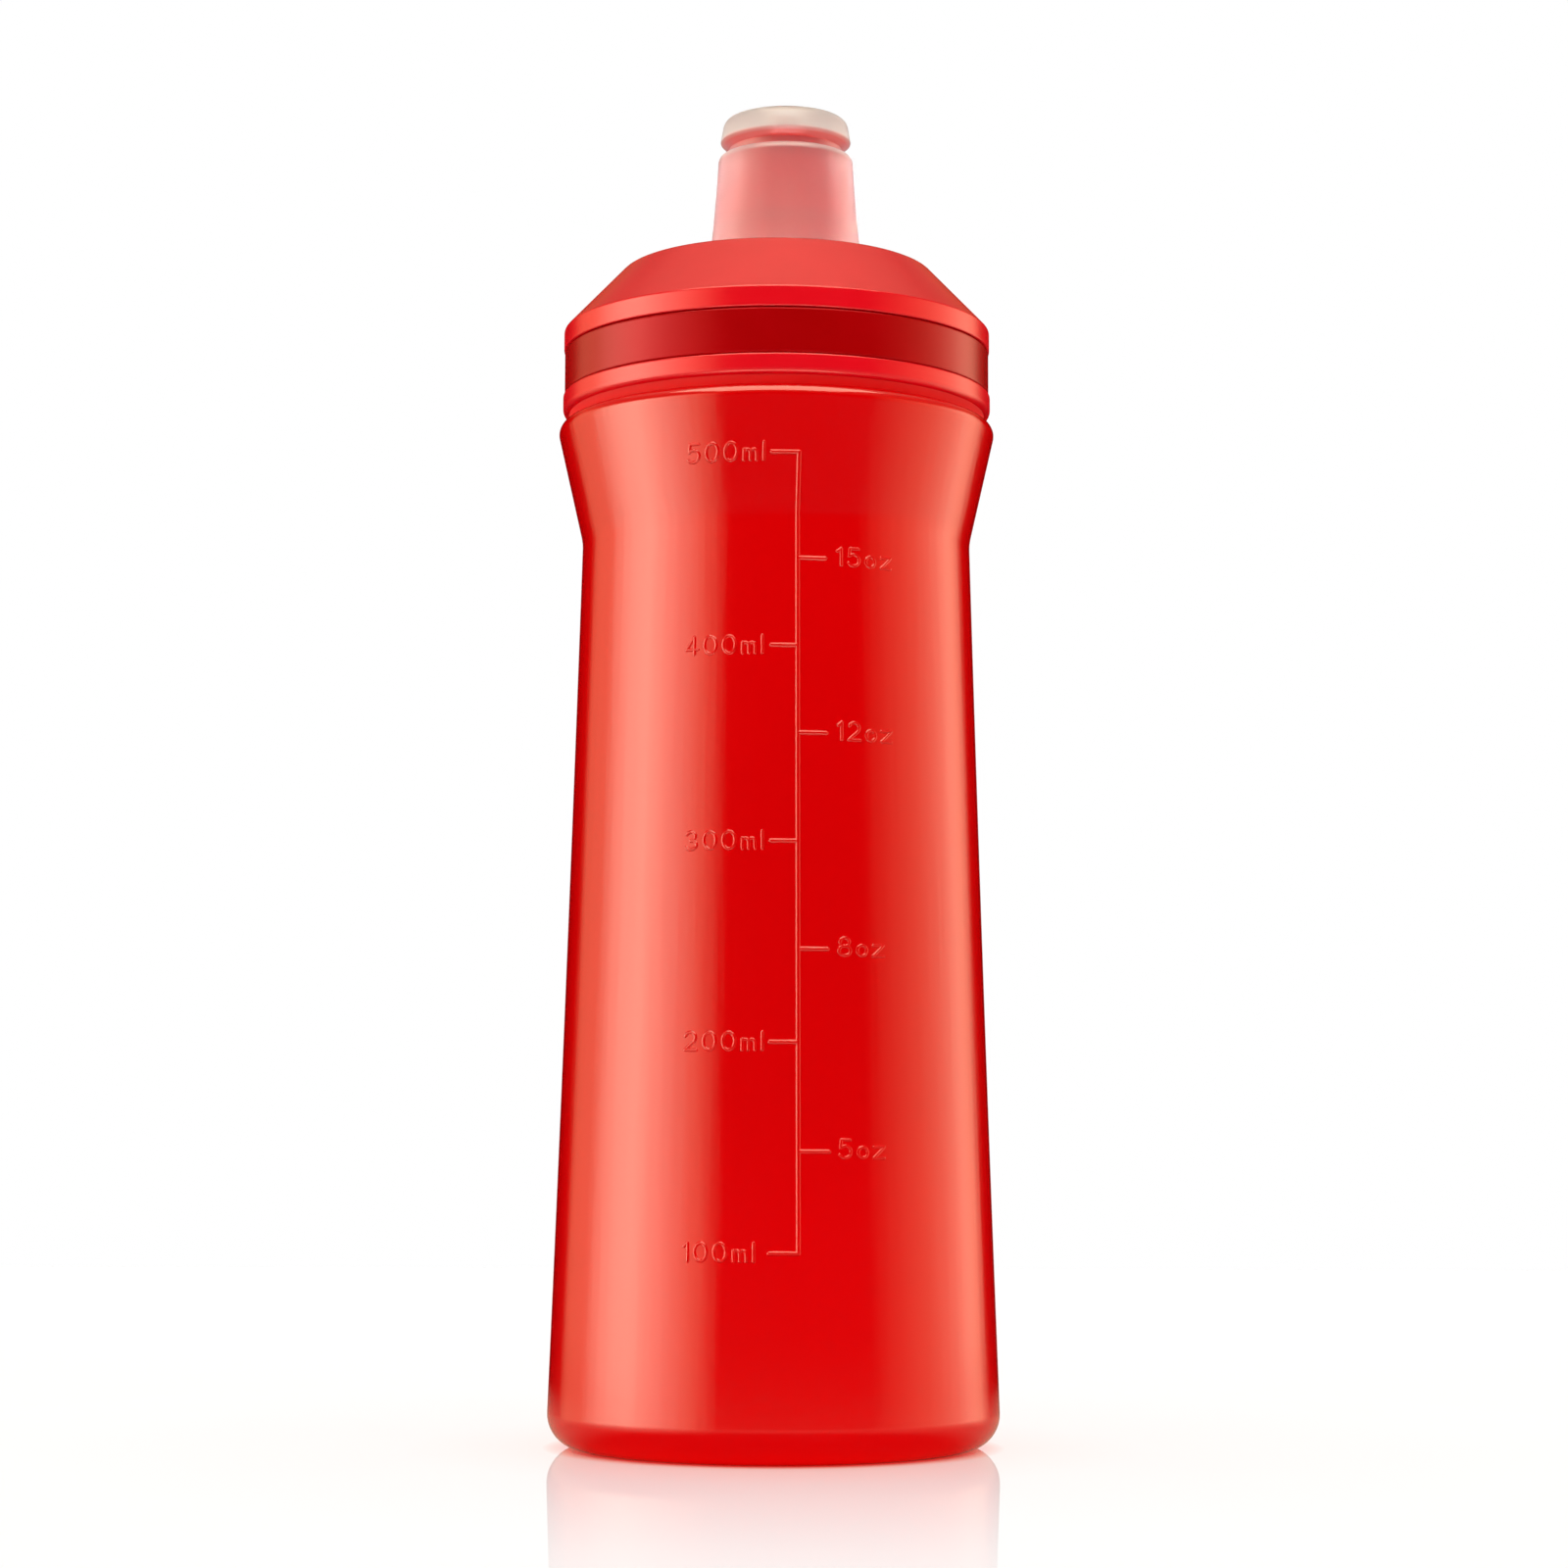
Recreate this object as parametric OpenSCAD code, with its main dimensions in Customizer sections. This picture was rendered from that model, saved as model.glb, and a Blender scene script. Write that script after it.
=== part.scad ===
// Sports squeeze bottle: blow-moulded bottle, two-start screw cap with a grip band,
// and a push-pull nozzle on a fixed stem. Millimetres, +Z up, origin at the centre of the foot.
// The volume scale is on the -Y side.

/* [Bottle] */
// Diameter where the line of the flared wall meets the floor, before the corner is rounded
base_d = 73.8; // [70:0.1:78]
// Radius of the rounded corner at the foot
base_corner_r = 5.5; // [3:0.5:8]
// Diameter at the finger waist
waist_d = 64.2; // [61.5:0.1:68]
// Height of the finger waist
waist_h = 148; // [120:1:154]
// Radius that softens the crease of the waist
waist_blend_r = 8; // [2:1:12]
// How far the flared wall bows inwards halfway up
flare_bow = 0.2; // [0:0.05:1]
// Diameter of the shoulder's corner, before it is rounded
shoulder_d = 73.2; // [71.5:0.1:78]
// Height from the waist up to the shoulder's corner
grip_h = 19.7; // [14:0.1:30]
// Radius of the shoulder's corner
shoulder_corner_r = 1; // [0.5:0.1:3]
// Rise of the shoulder's top from its corner to the neck
shoulder_rise = 0.7; // [0.2:0.1:1]
// Thickness of the blow-moulded wall
wall_t = 1.2; // [0.8:0.1:1.8]
// Height of the pushed-up centre of the base
pushup_h = 6; // [2:0.1:8]
// Diameter of the flat of the pushed-up centre
pushup_d = 32; // [24:1:38]
// Inner diameter of the flat foot ring
foot_inner_d = 52; // [48:1:56]
// Radius that rounds the edge of the pushed-up flat
pushup_edge_r = 4; // [1:0.5:6]
// Radius that rounds the inner edge of the foot ring
foot_edge_r = 1.5; // [0.5:0.5:3]
// Radius inside the shoulder's corner
shoulder_inner_r = 0.5; // [0.2:0.1:1]

/* [Volume scale] */
// Angle of the scale's line from the front, towards +X
scale_angle = 6; // [-10:0.5:15]
// Width of the raised line and marks
mark_w = 0.7; // [0.4:0.1:1.2]
// How far the line and marks stand out of the wall
mark_h = 0.3; // [0.2:0.05:0.6]
// Angle that a millilitre mark spans, to the left of the line
ml_mark_angle = 7.2; // [4:0.2:10]
// Angle that an ounce mark spans, to the right of the line
oz_mark_angle = 7.8; // [4:0.2:10]
// Height of the 500 ml mark above the waist
ml_500_rise = 9.1; // [5:0.1:14]
// Distance of the 400 ml mark below the waist
ml_400_drop = 21.3; // [18:0.1:26]
// Distance of the 300 ml mark below the waist
ml_300_drop = 52.1; // [45:0.1:60]
// Distance of the 200 ml mark below the waist
ml_200_drop = 83.3; // [75:0.1:90]
// Distance of the 100 ml mark below the waist
ml_100_drop = 115.6; // [105:0.1:125]
// Distance of the 15 oz mark below the waist
oz_15_drop = 7.4; // [3:0.1:12]
// Distance of the 12 oz mark below the waist
oz_12_drop = 35.1; // [28:0.1:42]
// Distance of the 8 oz mark below the waist
oz_8_drop = 68.9; // [60:0.1:76]
// Distance of the 5 oz mark below the waist
oz_5_drop = 100.1; // [90:0.1:110]

/* [Neck] */
// Outer diameter of the neck, without its thread
neck_d = 61; // [58:0.1:61.6]
// Thickness of the neck's wall
neck_wall_t = 2; // [1.4:0.1:3]
// Height of the neck above the shoulder's corner
neck_h = 14.9; // [13:0.1:15.5]
// Radius of the neck lip's two edges
lip_r = 0.6; // [0.2:0.1:0.9]
// Radius between the shoulder's top and the neck's outside
neck_root_r = 0.5; // [0.2:0.1:1]
// Radius between the neck's bore and the shoulder's inside
bore_root_r = 1; // [0.3:0.1:2]

/* [Thread] */
// How far the cap rises in one turn
thread_lead = 8; // [6:0.5:10]
// Number of starts
thread_starts = 2; // [1:1:2]
// Length of each ridge, in turns
thread_turns = 0.7; // [0.4:0.05:0.75]
// Height of a ridge above its wall
thread_h = 1.3; // [0.8:0.1:1.4]
// Width of a ridge at its wall
thread_root_w = 2.4; // [1.6:0.1:2.5]
// Width of a ridge at its crest
thread_crest_w = 1.2; // [0.6:0.1:1.3]
// Radial clearance between a crest and the wall opposite
thread_gap = 0.5; // [0.3:0.05:0.8]
// Distance from the neck's lip down to the upper end of its thread
thread_drop = 3.2; // [2.4:0.1:4]

/* [Cap] */
// Gap between the shoulder's corner and the bottom of the cap
cap_gap = 1.7; // [1:0.1:3]
// Thickness of the cap's wall at the rim above the grip band
rim_wall_t = 3.2; // [2.6:0.1:5]
// Height of the rim
rim_h = 3.25; // [2:0.05:5]
// Thickness of the cap's wall at the ring below the grip band
ring_wall_t = 3.3; // [2.6:0.1:5]
// Height of the ring below the grip band
ring_h = 3.25; // [2:0.05:5]
// Radius of the ring's lower edge
ring_edge_r = 1; // [0.3:0.1:1.2]
// Width of the cone, from the rim in to the edge of the cap's top
cone_w = 9.9; // [7:0.1:12]
// Height of the cone, from the rim up to the edge of the cap's top
cone_h = 10.4; // [8:0.1:14]
// Radius that rounds the edge of the cap's top
top_edge_r = 2; // [0.5:0.5:5]
// Thickness of the cap's top plate
plate_t = 2; // [1.4:0.1:2.5]
// Thickness of the cap's cone
cone_t = 2; // [1.4:0.1:2.5]
// Rise of the cap's top from its edge to the land round the spout
top_rise = 0.4; // [0.2:0.1:1]
// Radius of the edges that border the band's groove
groove_edge_r = 0.3; // [0.1:0.1:0.6]
// Radius of the rim's upper edge
rim_edge_r = 0.5; // [0.2:0.1:1]
// Radius between the cap's top plate and its cone, inside
plate_edge_r = 1.5; // [0.5:0.5:3]
// Width of the lead-in chamfer at the cap's mouth
mouth_chamfer_w = 0.6; // [0.2:0.1:1]
// Height of the lead-in chamfer at the cap's mouth
mouth_chamfer_h = 0.8; // [0.4:0.1:1.5]
// Width of the flat land that shows round the nozzle
land_margin = 1; // [0.5:0.1:3]

/* [Grip band] */
// Height of the grip band's groove
band_h = 7.5; // [5:0.1:9]
// Thickness of the grip band
band_t = 1.2; // [0.8:0.1:1.4]
// How far the grip band lies inside the rim's face
band_inset = 0.15; // [0:0.05:0.4]
// Radius of the grip band's edges
band_edge_r = 0.4; // [0.1:0.1:0.5]

/* [Gasket] */
// Thickness of the gasket
gasket_t = 1.6; // [1:0.1:2]
// How far the gasket reaches inside the neck's bore
gasket_lap = 0.5; // [0.2:0.1:1]

/* [Stem] */
// How far the spout's axis stands beside the cap's axis
spout_offset = 1.4; // [0:0.1:3]
// Outer diameter of the stem
stem_d = 16.6; // [15:0.1:17]
// Thickness of the stem's wall
stem_wall_t = 1.5; // [1:0.1:2]
// Width of the flange under the cap's top plate
flange_w = 3.2; // [2:0.1:6]
// Thickness of the flange
flange_t = 1.6; // [1:0.1:2]
// Diameter of the plug that closes the outlet
plug_d = 5.2; // [4:0.1:6]
// Width of the spokes that carry the plug
spoke_w = 1.6; // [1:0.1:2.4]
// Height of the spokes
spoke_h = 2.6; // [1.5:0.1:4]
// Number of spokes
spoke_count = 3; // [2:1:5]
// Height of the stop bead
bead_h = 1.6; // [1:0.1:2.5]
// Height of the stop bead's cylindrical edge
bead_edge_h = 0.5; // [0.3:0.1:0.8]
// Radius of the flange's lower edge
flange_edge_r = 0.4; // [0.1:0.1:0.8]
// Radius of the stem's upper edge
stem_edge_r = 0.4; // [0.1:0.1:0.7]
// How far the plug's top lies below the edge of the nozzle's dome
plug_drop = 0.8; // [0.3:0.1:1.5]
// Radius of the plug's top edge
plug_edge_r = 0.8; // [0.2:0.1:1.5]

/* [Nozzle] */
// How much further out the nozzle's side stands at its bottom than at the tooth groove
nozzle_flare = 1.75; // [0.5:0.05:3]
// How far the nozzle's side bows inwards halfway up
nozzle_bow = 0.2; // [0:0.05:0.4]
// Radius of the upper edge of the nozzle's side
nozzle_edge_r = 1.1; // [0.3:0.1:1.3]
// Height of the tooth groove's lower edge above the nozzle's bottom
groove_z = 19.6; // [18.5:0.1:20.5]
// Height of the tooth groove's root
groove_root_h = 1.4; // [0.8:0.1:2]
// Thickness of the nozzle's wall at the tooth groove's root
groove_wall_t = 1.1; // [0.8:0.1:1.5]
// Height of the sloping upper side of the groove
groove_slope_h = 1.2; // [0.6:0.1:2]
// Height of the sloping lower side of the groove
groove_foot_h = 0.3; // [0.1:0.1:0.6]
// How far the head's lip lies inside the nozzle's side below the groove
lip_inset = 0.3; // [0:0.1:0.6]
// Radius of the head's lip
head_lip_r = 0.3; // [0.1:0.1:0.5]
// How far the head's top edge lies inside the nozzle's side below the groove
head_inset = 1; // [0.6:0.1:1.4]
// Height of the head from its lip to the edge of its dome
head_h = 3.85; // [3.4:0.05:6]
// Radius of the head's top edge
head_edge_r = 1.6; // [0.5:0.1:1.8]
// Rise of the head's domed top
head_dome = 0.25; // [0.1:0.05:1]
// Thickness of the head above the bore
head_t = 4; // [3:0.1:4.8]
// Radius of the outlet's edge
outlet_edge_r = 0.4; // [0.1:0.1:0.8]
// Wall of the nozzle's wide lower bore
lower_wall_t = 1.5; // [1:0.1:1.6]
// Height of the wide lower bore
lower_bore_h = 14.5; // [13:0.1:16]
// Height of the slope between the wide and the narrow bore
bore_step_h = 1; // [0.5:0.1:1.5]
// Height of the retaining rib inside the bottom of the nozzle
rib_h = 1.4; // [1:0.1:2]
// Space between the retaining rib and the stem
rib_gap = 0.45; // [0.2:0.05:0.6]
// How far the retaining rib and the stop bead hook over each other
rib_hook = 0.7; // [0.4:0.1:0.8]
// Travel of the nozzle from closed to open
nozzle_travel = 6; // [4:0.1:7]

/* [Clearances] */
// Running clearance of the sliding nozzle, on the radius
slide_gap = 0.1; // [0.05:0.01:0.2]
// Clearance between pieces that are fixed together
seat_gap = 0.05; // [0.02:0.01:0.1]
// Free space where two moving pieces pass each other
pass_gap = 0.3; // [0.2:0.05:0.4]

/* [Hidden] */
$fn = 96;
// How far a cutting shape runs past the face that it cuts
cut = 1;
// Straight steps that draw a rounded corner and a bowed side
arc_steps = 8;
bow_steps = 8;
// Straight steps of the volume scale's line, from its foot to the waist
line_steps = 12;
// Angle of one step along a thread, and the steps in which a ridge rises from its wall
thread_step = 5;
fade_steps = 4;
// How deep a ridge is rooted in its wall
thread_root = 0.3;
// How deep the spokes are rooted in the plug and the stem
spoke_root = 0.4;

// Radii of the bottle
base_r = base_d / 2;
waist_r = waist_d / 2;
shoulder_r = shoulder_d / 2;
shoulder_h = waist_h + grip_h;
neck_r = neck_d / 2;
bore_r = neck_r - neck_wall_t;
neck_top = shoulder_h + neck_h;

// Heights and radii of the cap
cap_z = shoulder_h + cap_gap;
ring_top = cap_z + ring_h;
rim_z = ring_top + band_h;
rim_top = rim_z + rim_h;
cap_top = rim_top + cone_h;
skirt_r = neck_r + thread_h + thread_gap;
mouth_r = skirt_r + mouth_chamfer_w;
ring_r = skirt_r + ring_wall_t;
rim_r = skirt_r + rim_wall_t;
top_r = rim_r - cone_w;
band_r = rim_r - band_inset;
band_seat_r = band_r - band_t - seat_gap;
gasket_r = skirt_r - pass_gap;
gasket_z = neck_top + seat_gap;
seat_z = gasket_z + gasket_t + seat_gap;
seat_inner_r = bore_r - gasket_lap;
cone_slope = cone_h / cone_w;
cone_drop = cone_t * norm([1, cone_slope]);
land_z = cap_top + top_rise;
plate_z = land_z - plate_t;
plate_r = rim_r - (plate_z + cone_drop - rim_top) / cone_slope;
// Height of the cone's inner face at radius r
function cone_inner(r) = rim_top + (rim_r - r) * cone_slope - cone_drop;

// Radii of the stem and nozzle, from the stem's wall outwards
stem_r = stem_d / 2;
upper_bore_r = stem_r + slide_gap;
rib_r = stem_r + rib_gap;
bead_r = rib_r + rib_hook;
lower_bore_r = bead_r + pass_gap;
groove_root_r = upper_bore_r + groove_wall_t;
side_top_r = lower_bore_r + lower_wall_t;
side_foot_r = side_top_r + nozzle_flare;
plug_r = plug_d / 2;
outlet_r = plug_r + slide_gap;
land_r = side_foot_r + spout_offset + land_margin;

// Heights of the stem and nozzle, from the cap's land upwards
nozzle_z = land_z + seat_gap;
rib_z = nozzle_z + pass_gap;
bead_z = rib_z + rib_h + nozzle_travel + pass_gap;
side_top = nozzle_z + groove_z;
root_top = side_top + groove_root_h;
lip_z = root_top + groove_slope_h;
head_top = lip_z + head_h;
ceiling_z = head_top - head_t;
stem_top = ceiling_z - 2 * pass_gap;
plug_top = head_top - plug_drop;

// Arc that rounds the corner b of the path a, b, c with radius r
function unit(v) = v / norm(v);
function corner(a, b, c, r) =
    let (u = unit(a - b), v = unit(c - b), half = acos(u * v) / 2)
    let (centre = b + unit(u + v) * r / sin(half))
    let (p = b + u * r / tan(half) - centre, q = b + v * r / tan(half) - centre)
    let (sweep = 180 - 2 * half, side = sign(p.x * q.y - p.y * q.x))
    [for (i = [0:arc_steps])
        let (t = side * sweep * i / arc_steps)
        centre + [p.x * cos(t) - p.y * sin(t), p.x * sin(t) + p.y * cos(t)]];

// Path through points [radius, height] or [radius, height, corner radius]
function flat(p) = [p[0], p[1]];
function rounded(path) = [for (i = [0:len(path) - 1])
    let (last = len(path) - 1, b = path[i], round = i > 0 && i < last && len(b) == 3)
    each round ? corner(flat(path[i - 1]), flat(b), flat(path[i + 1]), b[2]) : [flat(b)]];

// Inner points of a side from a to b that bows towards the axis
function bowed(a, b, bow) = [for (i = [1:bow_steps - 1])
    let (t = i / bow_steps) a + (b - a) * t - [4 * bow * t * (1 - t), 0]];

module turned(path) {
    rotate_extrude() polygon(rounded(path));
}

// One step of a ridge: four points at angle a, from the buried root to the crest
function ridge_ring(a, z, root_r, crest_r) =
    let (out = sign(crest_r - root_r))
    [for (p = [[root_r, -thread_root_w / 2], [crest_r, -thread_crest_w / 2],
               [crest_r, thread_crest_w / 2], [root_r, thread_root_w / 2]])
        [p[0] * cos(a), p[0] * sin(a), z + out * p[1]]];

// Helical ridges on a wall of radius wall_r, rising from height z
module ridges(wall_r, out, z) {
    steps = round(thread_turns * 360 / thread_step);
    root_r = wall_r - out * thread_root;
    rings = [for (i = [0:steps])
        let (rise = min(1, min(i, steps - i) / fade_steps))
        let (crest_r = wall_r + out * (thread_h * rise - thread_root / 2 * (1 - rise)))
        each ridge_ring(i * thread_step, z + thread_lead * i * thread_step / 360, root_r, crest_r)];
    sides = [for (i = [0:steps - 1], k = [0:3])
        let (a = 4 * i + k, b = 4 * i + (k + 1) % 4)
        each [[a, b, a + 4], [b, b + 4, a + 4]]];
    last = 4 * steps;
    ends = [[0, 3, 2], [0, 2, 1], [last, last + 1, last + 2], [last, last + 2, last + 3]];
    for (s = [0:thread_starts - 1])
        rotate([0, 0, 360 * s / thread_starts])
            polyhedron(points = rings, faces = concat(sides, ends));
}

// Lower ends of the neck's ridges; the cap's lie half a pitch below
neck_thread_z = neck_top - thread_drop - thread_lead * thread_turns;
cap_thread_z = neck_thread_z - thread_lead / thread_starts / 2;

// Heights of the marks on either side of the scale's line
scale_low = waist_h - ml_100_drop;
scale_high = waist_h + ml_500_rise;
ml_heights = [scale_low, waist_h - ml_200_drop, waist_h - ml_300_drop,
              waist_h - ml_400_drop, scale_high];
oz_heights = [for (drop = [oz_5_drop, oz_8_drop, oz_12_drop, oz_15_drop]) waist_h - drop];

// Radius of the bottle's side at height z
function flare(z) = let (t = z / waist_h)
    base_r + (waist_r - base_r) * t - 4 * flare_bow * t * (1 - t);
function side_r(z) = z < waist_h ? flare(z)
    : waist_r + (shoulder_r - waist_r) * (z - waist_h) / grip_h;

// The scale's upright line, which follows the bowed flare from z0 to the waist and the grip to z1
module scale_line(z0, z1) {
    step = (waist_h - z0) / line_steps;
    heights = concat([for (i = [0:line_steps]) z0 + i * step], [z1]);
    face = [for (z = heights) [side_r(z) + mark_h, z]];
    back = [for (z = [z1, waist_h, z0]) [side_r(z) - wall_t / 2, z]];
    rotate([90, 0, scale_angle - 90])
        linear_extrude(mark_w, center = true) polygon(concat(face, back));
}

// A level mark at height z, from the scale's line to an angle beside it
module scale_mark(z, angle) {
    length = side_r(z) * abs(angle) * PI / 180;
    rotate([0, 0, scale_angle - 90 + angle / 2])
        translate([side_r(z) - wall_t / 2, -length / 2, z - mark_w / 2])
            cube([wall_t / 2 + mark_h, length, mark_w]);
}

module volume_scale() {
    scale_line(scale_low, scale_high);
    for (z = ml_heights) scale_mark(z, -ml_mark_angle);
    for (z = oz_heights) scale_mark(z, oz_mark_angle);
}

module bottle() {
    waist = [waist_r, waist_h];
    foot = [base_r, 0];
    outer = concat(
        [[0, pushup_h], [pushup_d / 2, pushup_h, pushup_edge_r],
         [foot_inner_d / 2, 0, foot_edge_r], [base_r, 0, base_corner_r]],
        bowed(foot, waist, flare_bow),
        [[waist_r, waist_h, waist_blend_r],
         [shoulder_r, shoulder_h, shoulder_corner_r],
         [neck_r, shoulder_h + shoulder_rise, neck_root_r],
         [neck_r, neck_top, lip_r], [bore_r, neck_top, lip_r],
         [bore_r, shoulder_h - wall_t + shoulder_rise, bore_root_r],
         [shoulder_r - wall_t, shoulder_h - wall_t, shoulder_inner_r],
         [waist_r - wall_t, waist_h, waist_blend_r]],
        bowed(waist - [wall_t, 0], foot - [wall_t, 0], flare_bow),
        [[base_r - wall_t, wall_t, base_corner_r - wall_t],
         [foot_inner_d / 2, wall_t, foot_edge_r],
         [pushup_d / 2, pushup_h + wall_t, pushup_edge_r], [0, pushup_h + wall_t]]);
    color("#d8000a") {
        turned(outer);
        volume_scale();
        ridges(neck_r, 1, neck_thread_z);
    }
}

module cap_gasket() {
    color("#e9e6e0")
        turned([[seat_inner_r, gasket_z], [gasket_r, gasket_z],
                [gasket_r, gasket_z + gasket_t], [seat_inner_r, gasket_z + gasket_t]]);
}

module cap_shell() {
    color("#ec4a44") {
        difference() {
            turned([[0, cap_z], [ring_r, cap_z, ring_edge_r],
                    [ring_r, ring_top, groove_edge_r], [band_seat_r, ring_top],
                    [band_seat_r, rim_z], [rim_r, rim_z, groove_edge_r],
                    [rim_r, rim_top, rim_edge_r], [top_r, cap_top, top_edge_r],
                    [land_r, land_z], [0, land_z]]);
            turned([[0, cap_z - cut], [mouth_r, cap_z - cut], [mouth_r, cap_z],
                    [skirt_r, cap_z + mouth_chamfer_h], [skirt_r, seat_z],
                    [seat_inner_r, seat_z], [seat_inner_r, cone_inner(seat_inner_r)],
                    [plate_r, plate_z, plate_edge_r], [0, plate_z]]);
            translate([spout_offset, 0, plate_z - cut])
                cylinder(r = stem_r + seat_gap, h = plate_t + 2 * cut);
        }
        ridges(skirt_r, -1, cap_thread_z);
    }
}

module grip_band() {
    low = ring_top + 2 * seat_gap;
    high = rim_z - 2 * seat_gap;
    color("#a8000c")
        turned([[band_r - band_t, low], [band_r, low, band_edge_r],
                [band_r, high, band_edge_r], [band_r - band_t, high]]);
}

module spout_stem() {
    inner_r = stem_r - stem_wall_t;
    flange_r = stem_r + flange_w;
    flange_top = plate_z - seat_gap;
    spoke_z = stem_top - spoke_h;
    color("#c8000c") translate([spout_offset, 0, 0]) {
        turned([[inner_r, flange_top - flange_t],
                [flange_r, flange_top - flange_t, flange_edge_r],
                [flange_r, flange_top], [stem_r, flange_top], [stem_r, bead_z],
                [bead_r, bead_z], [bead_r, bead_z + bead_edge_h], [stem_r, bead_z + bead_h],
                [stem_r, stem_top, stem_edge_r], [inner_r, stem_top]]);
        turned([[0, spoke_z], [plug_r, spoke_z], [plug_r, plug_top, plug_edge_r],
                [0, plug_top]]);
        for (i = [0:spoke_count - 1])
            rotate([0, 0, 360 * i / spoke_count])
                translate([plug_r - spoke_root, -spoke_w / 2, spoke_z])
                    cube([inner_r - plug_r + 2 * spoke_root, spoke_w, spoke_h]);
    }
}

module nozzle() {
    foot = [side_foot_r, nozzle_z];
    side_edge = [side_top_r, side_top];
    bore_step_z = nozzle_z + lower_bore_h;
    color("#e6c3bd") translate([spout_offset, 0, 0])
        turned(concat(
            [[rib_r, nozzle_z], foot],
            bowed(foot, side_edge, nozzle_bow),
            [[side_top_r, side_top, nozzle_edge_r],
             [groove_root_r, side_top + groove_foot_h], [groove_root_r, root_top],
             [side_top_r - lip_inset, lip_z, head_lip_r],
             [side_top_r - head_inset, head_top, head_edge_r],
             [outlet_r, head_top + head_dome, outlet_edge_r], [outlet_r, ceiling_z],
             [upper_bore_r, ceiling_z], [upper_bore_r, bore_step_z + bore_step_h],
             [lower_bore_r, bore_step_z], [lower_bore_r, rib_z + rib_h],
             [rib_r, rib_z + rib_h]]));
}

bottle();
cap_gasket();
cap_shell();
grip_band();
spout_stem();
nozzle();
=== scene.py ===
import math

import bpy
from mathutils import Matrix, Vector


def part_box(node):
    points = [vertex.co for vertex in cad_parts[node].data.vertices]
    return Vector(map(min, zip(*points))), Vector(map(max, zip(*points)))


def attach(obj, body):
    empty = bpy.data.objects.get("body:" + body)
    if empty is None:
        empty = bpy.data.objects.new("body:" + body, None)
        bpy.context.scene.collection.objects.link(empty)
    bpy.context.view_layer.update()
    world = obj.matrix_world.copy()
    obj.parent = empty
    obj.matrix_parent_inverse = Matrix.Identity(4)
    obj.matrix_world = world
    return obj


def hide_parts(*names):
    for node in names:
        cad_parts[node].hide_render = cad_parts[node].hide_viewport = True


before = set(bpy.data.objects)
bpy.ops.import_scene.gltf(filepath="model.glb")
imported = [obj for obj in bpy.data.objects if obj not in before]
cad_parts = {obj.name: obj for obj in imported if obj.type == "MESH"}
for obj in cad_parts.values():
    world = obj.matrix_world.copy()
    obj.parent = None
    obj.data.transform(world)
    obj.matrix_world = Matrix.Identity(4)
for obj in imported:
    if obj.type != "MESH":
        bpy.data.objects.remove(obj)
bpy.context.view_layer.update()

# Sports squeeze bottle. Sizes are in millimetres, in the part's own frame: +Z up, the volume scale on -Y.
MM = 0.001
SEGMENTS = 192          # round a spun piece
ARC_STEP = math.radians(9)   # between the points of a rounded corner
HOLD = 0.25             # how far outside a rounded corner its holding point lies
WELD = 0.002            # points nearer than this are one
CREASE = math.radians(38)    # a sharper edge than this stays crisp
WHITE = (1, 1, 1, 1)


# ---------------------------------------------------------------- nodes

def linear(code):
    """Linear RGBA of an sRGB hex colour."""
    parts = [int(code[i:i + 2], 16) / 255 for i in (1, 3, 5)]
    return (*(c / 12.92 if c <= 0.04045 else ((c + 0.055) / 1.055) ** 2.4 for c in parts), 1)


def add(tree, kind, links=None, stops=None, **settings):
    """Adds a node. links gives its inputs values, sockets, or nodes that stand for their first output."""
    made = tree.nodes.new(kind)
    for name, value in settings.items():
        setattr(made, name, value)
    for name, value in (links or {}).items():
        if isinstance(value, bpy.types.Node):
            value = value.outputs[0]
        if isinstance(value, bpy.types.NodeSocket):
            tree.links.new(value, made.inputs[name])
        else:
            made.inputs[name].default_value = value
    if stops:
        ramp = made.color_ramp.elements
        while len(ramp) < len(stops):
            ramp.new(1)
        for stop, (place, value) in zip(ramp, stops):
            stop.position = place
            stop.color = value if isinstance(value, tuple) else (value, value, value, 1)
    return made


def blank_material(name):
    """A material without nodes, and its tree."""
    material = bpy.data.materials.new(name)
    material.use_nodes = True
    material.node_tree.nodes.clear()
    return material, material.node_tree


def between(tree, value, low, high, start=0.0, end=1.0):
    """A level that runs from start to end as a value runs from low to high."""
    return add(tree, "ShaderNodeMapRange", {
        "Value": value, "From Min": low, "From Max": high, "To Min": start, "To Max": end})


def distance(tree, place, x=0.0, y=0.0):
    """How far a place is from the upright line at x, y."""
    level = add(tree, "ShaderNodeVectorMath", {0: place, 1: (1, 1, 0)}, operation="MULTIPLY")
    shifted = add(tree, "ShaderNodeVectorMath", {0: level, 1: (-x, -y, 0)}, operation="ADD")
    return add(tree, "ShaderNodeVectorMath", {0: shifted}, operation="LENGTH").outputs["Value"]


def geometry_tree(name, sizes):
    """A geometry tree with the named inputs; returns it and the sockets they come in by."""
    tree = bpy.data.node_groups.new(name, "GeometryNodeTree")
    for label, kind in (("Outline", "Geometry"), *sizes, ("Finish", "Material")):
        tree.interface.new_socket(label, in_out="INPUT", socket_type="NodeSocket" + kind)
    tree.interface.new_socket("Piece", in_out="OUTPUT", socket_type="NodeSocketGeometry")
    return tree, add(tree, "NodeGroupInput").outputs


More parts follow.
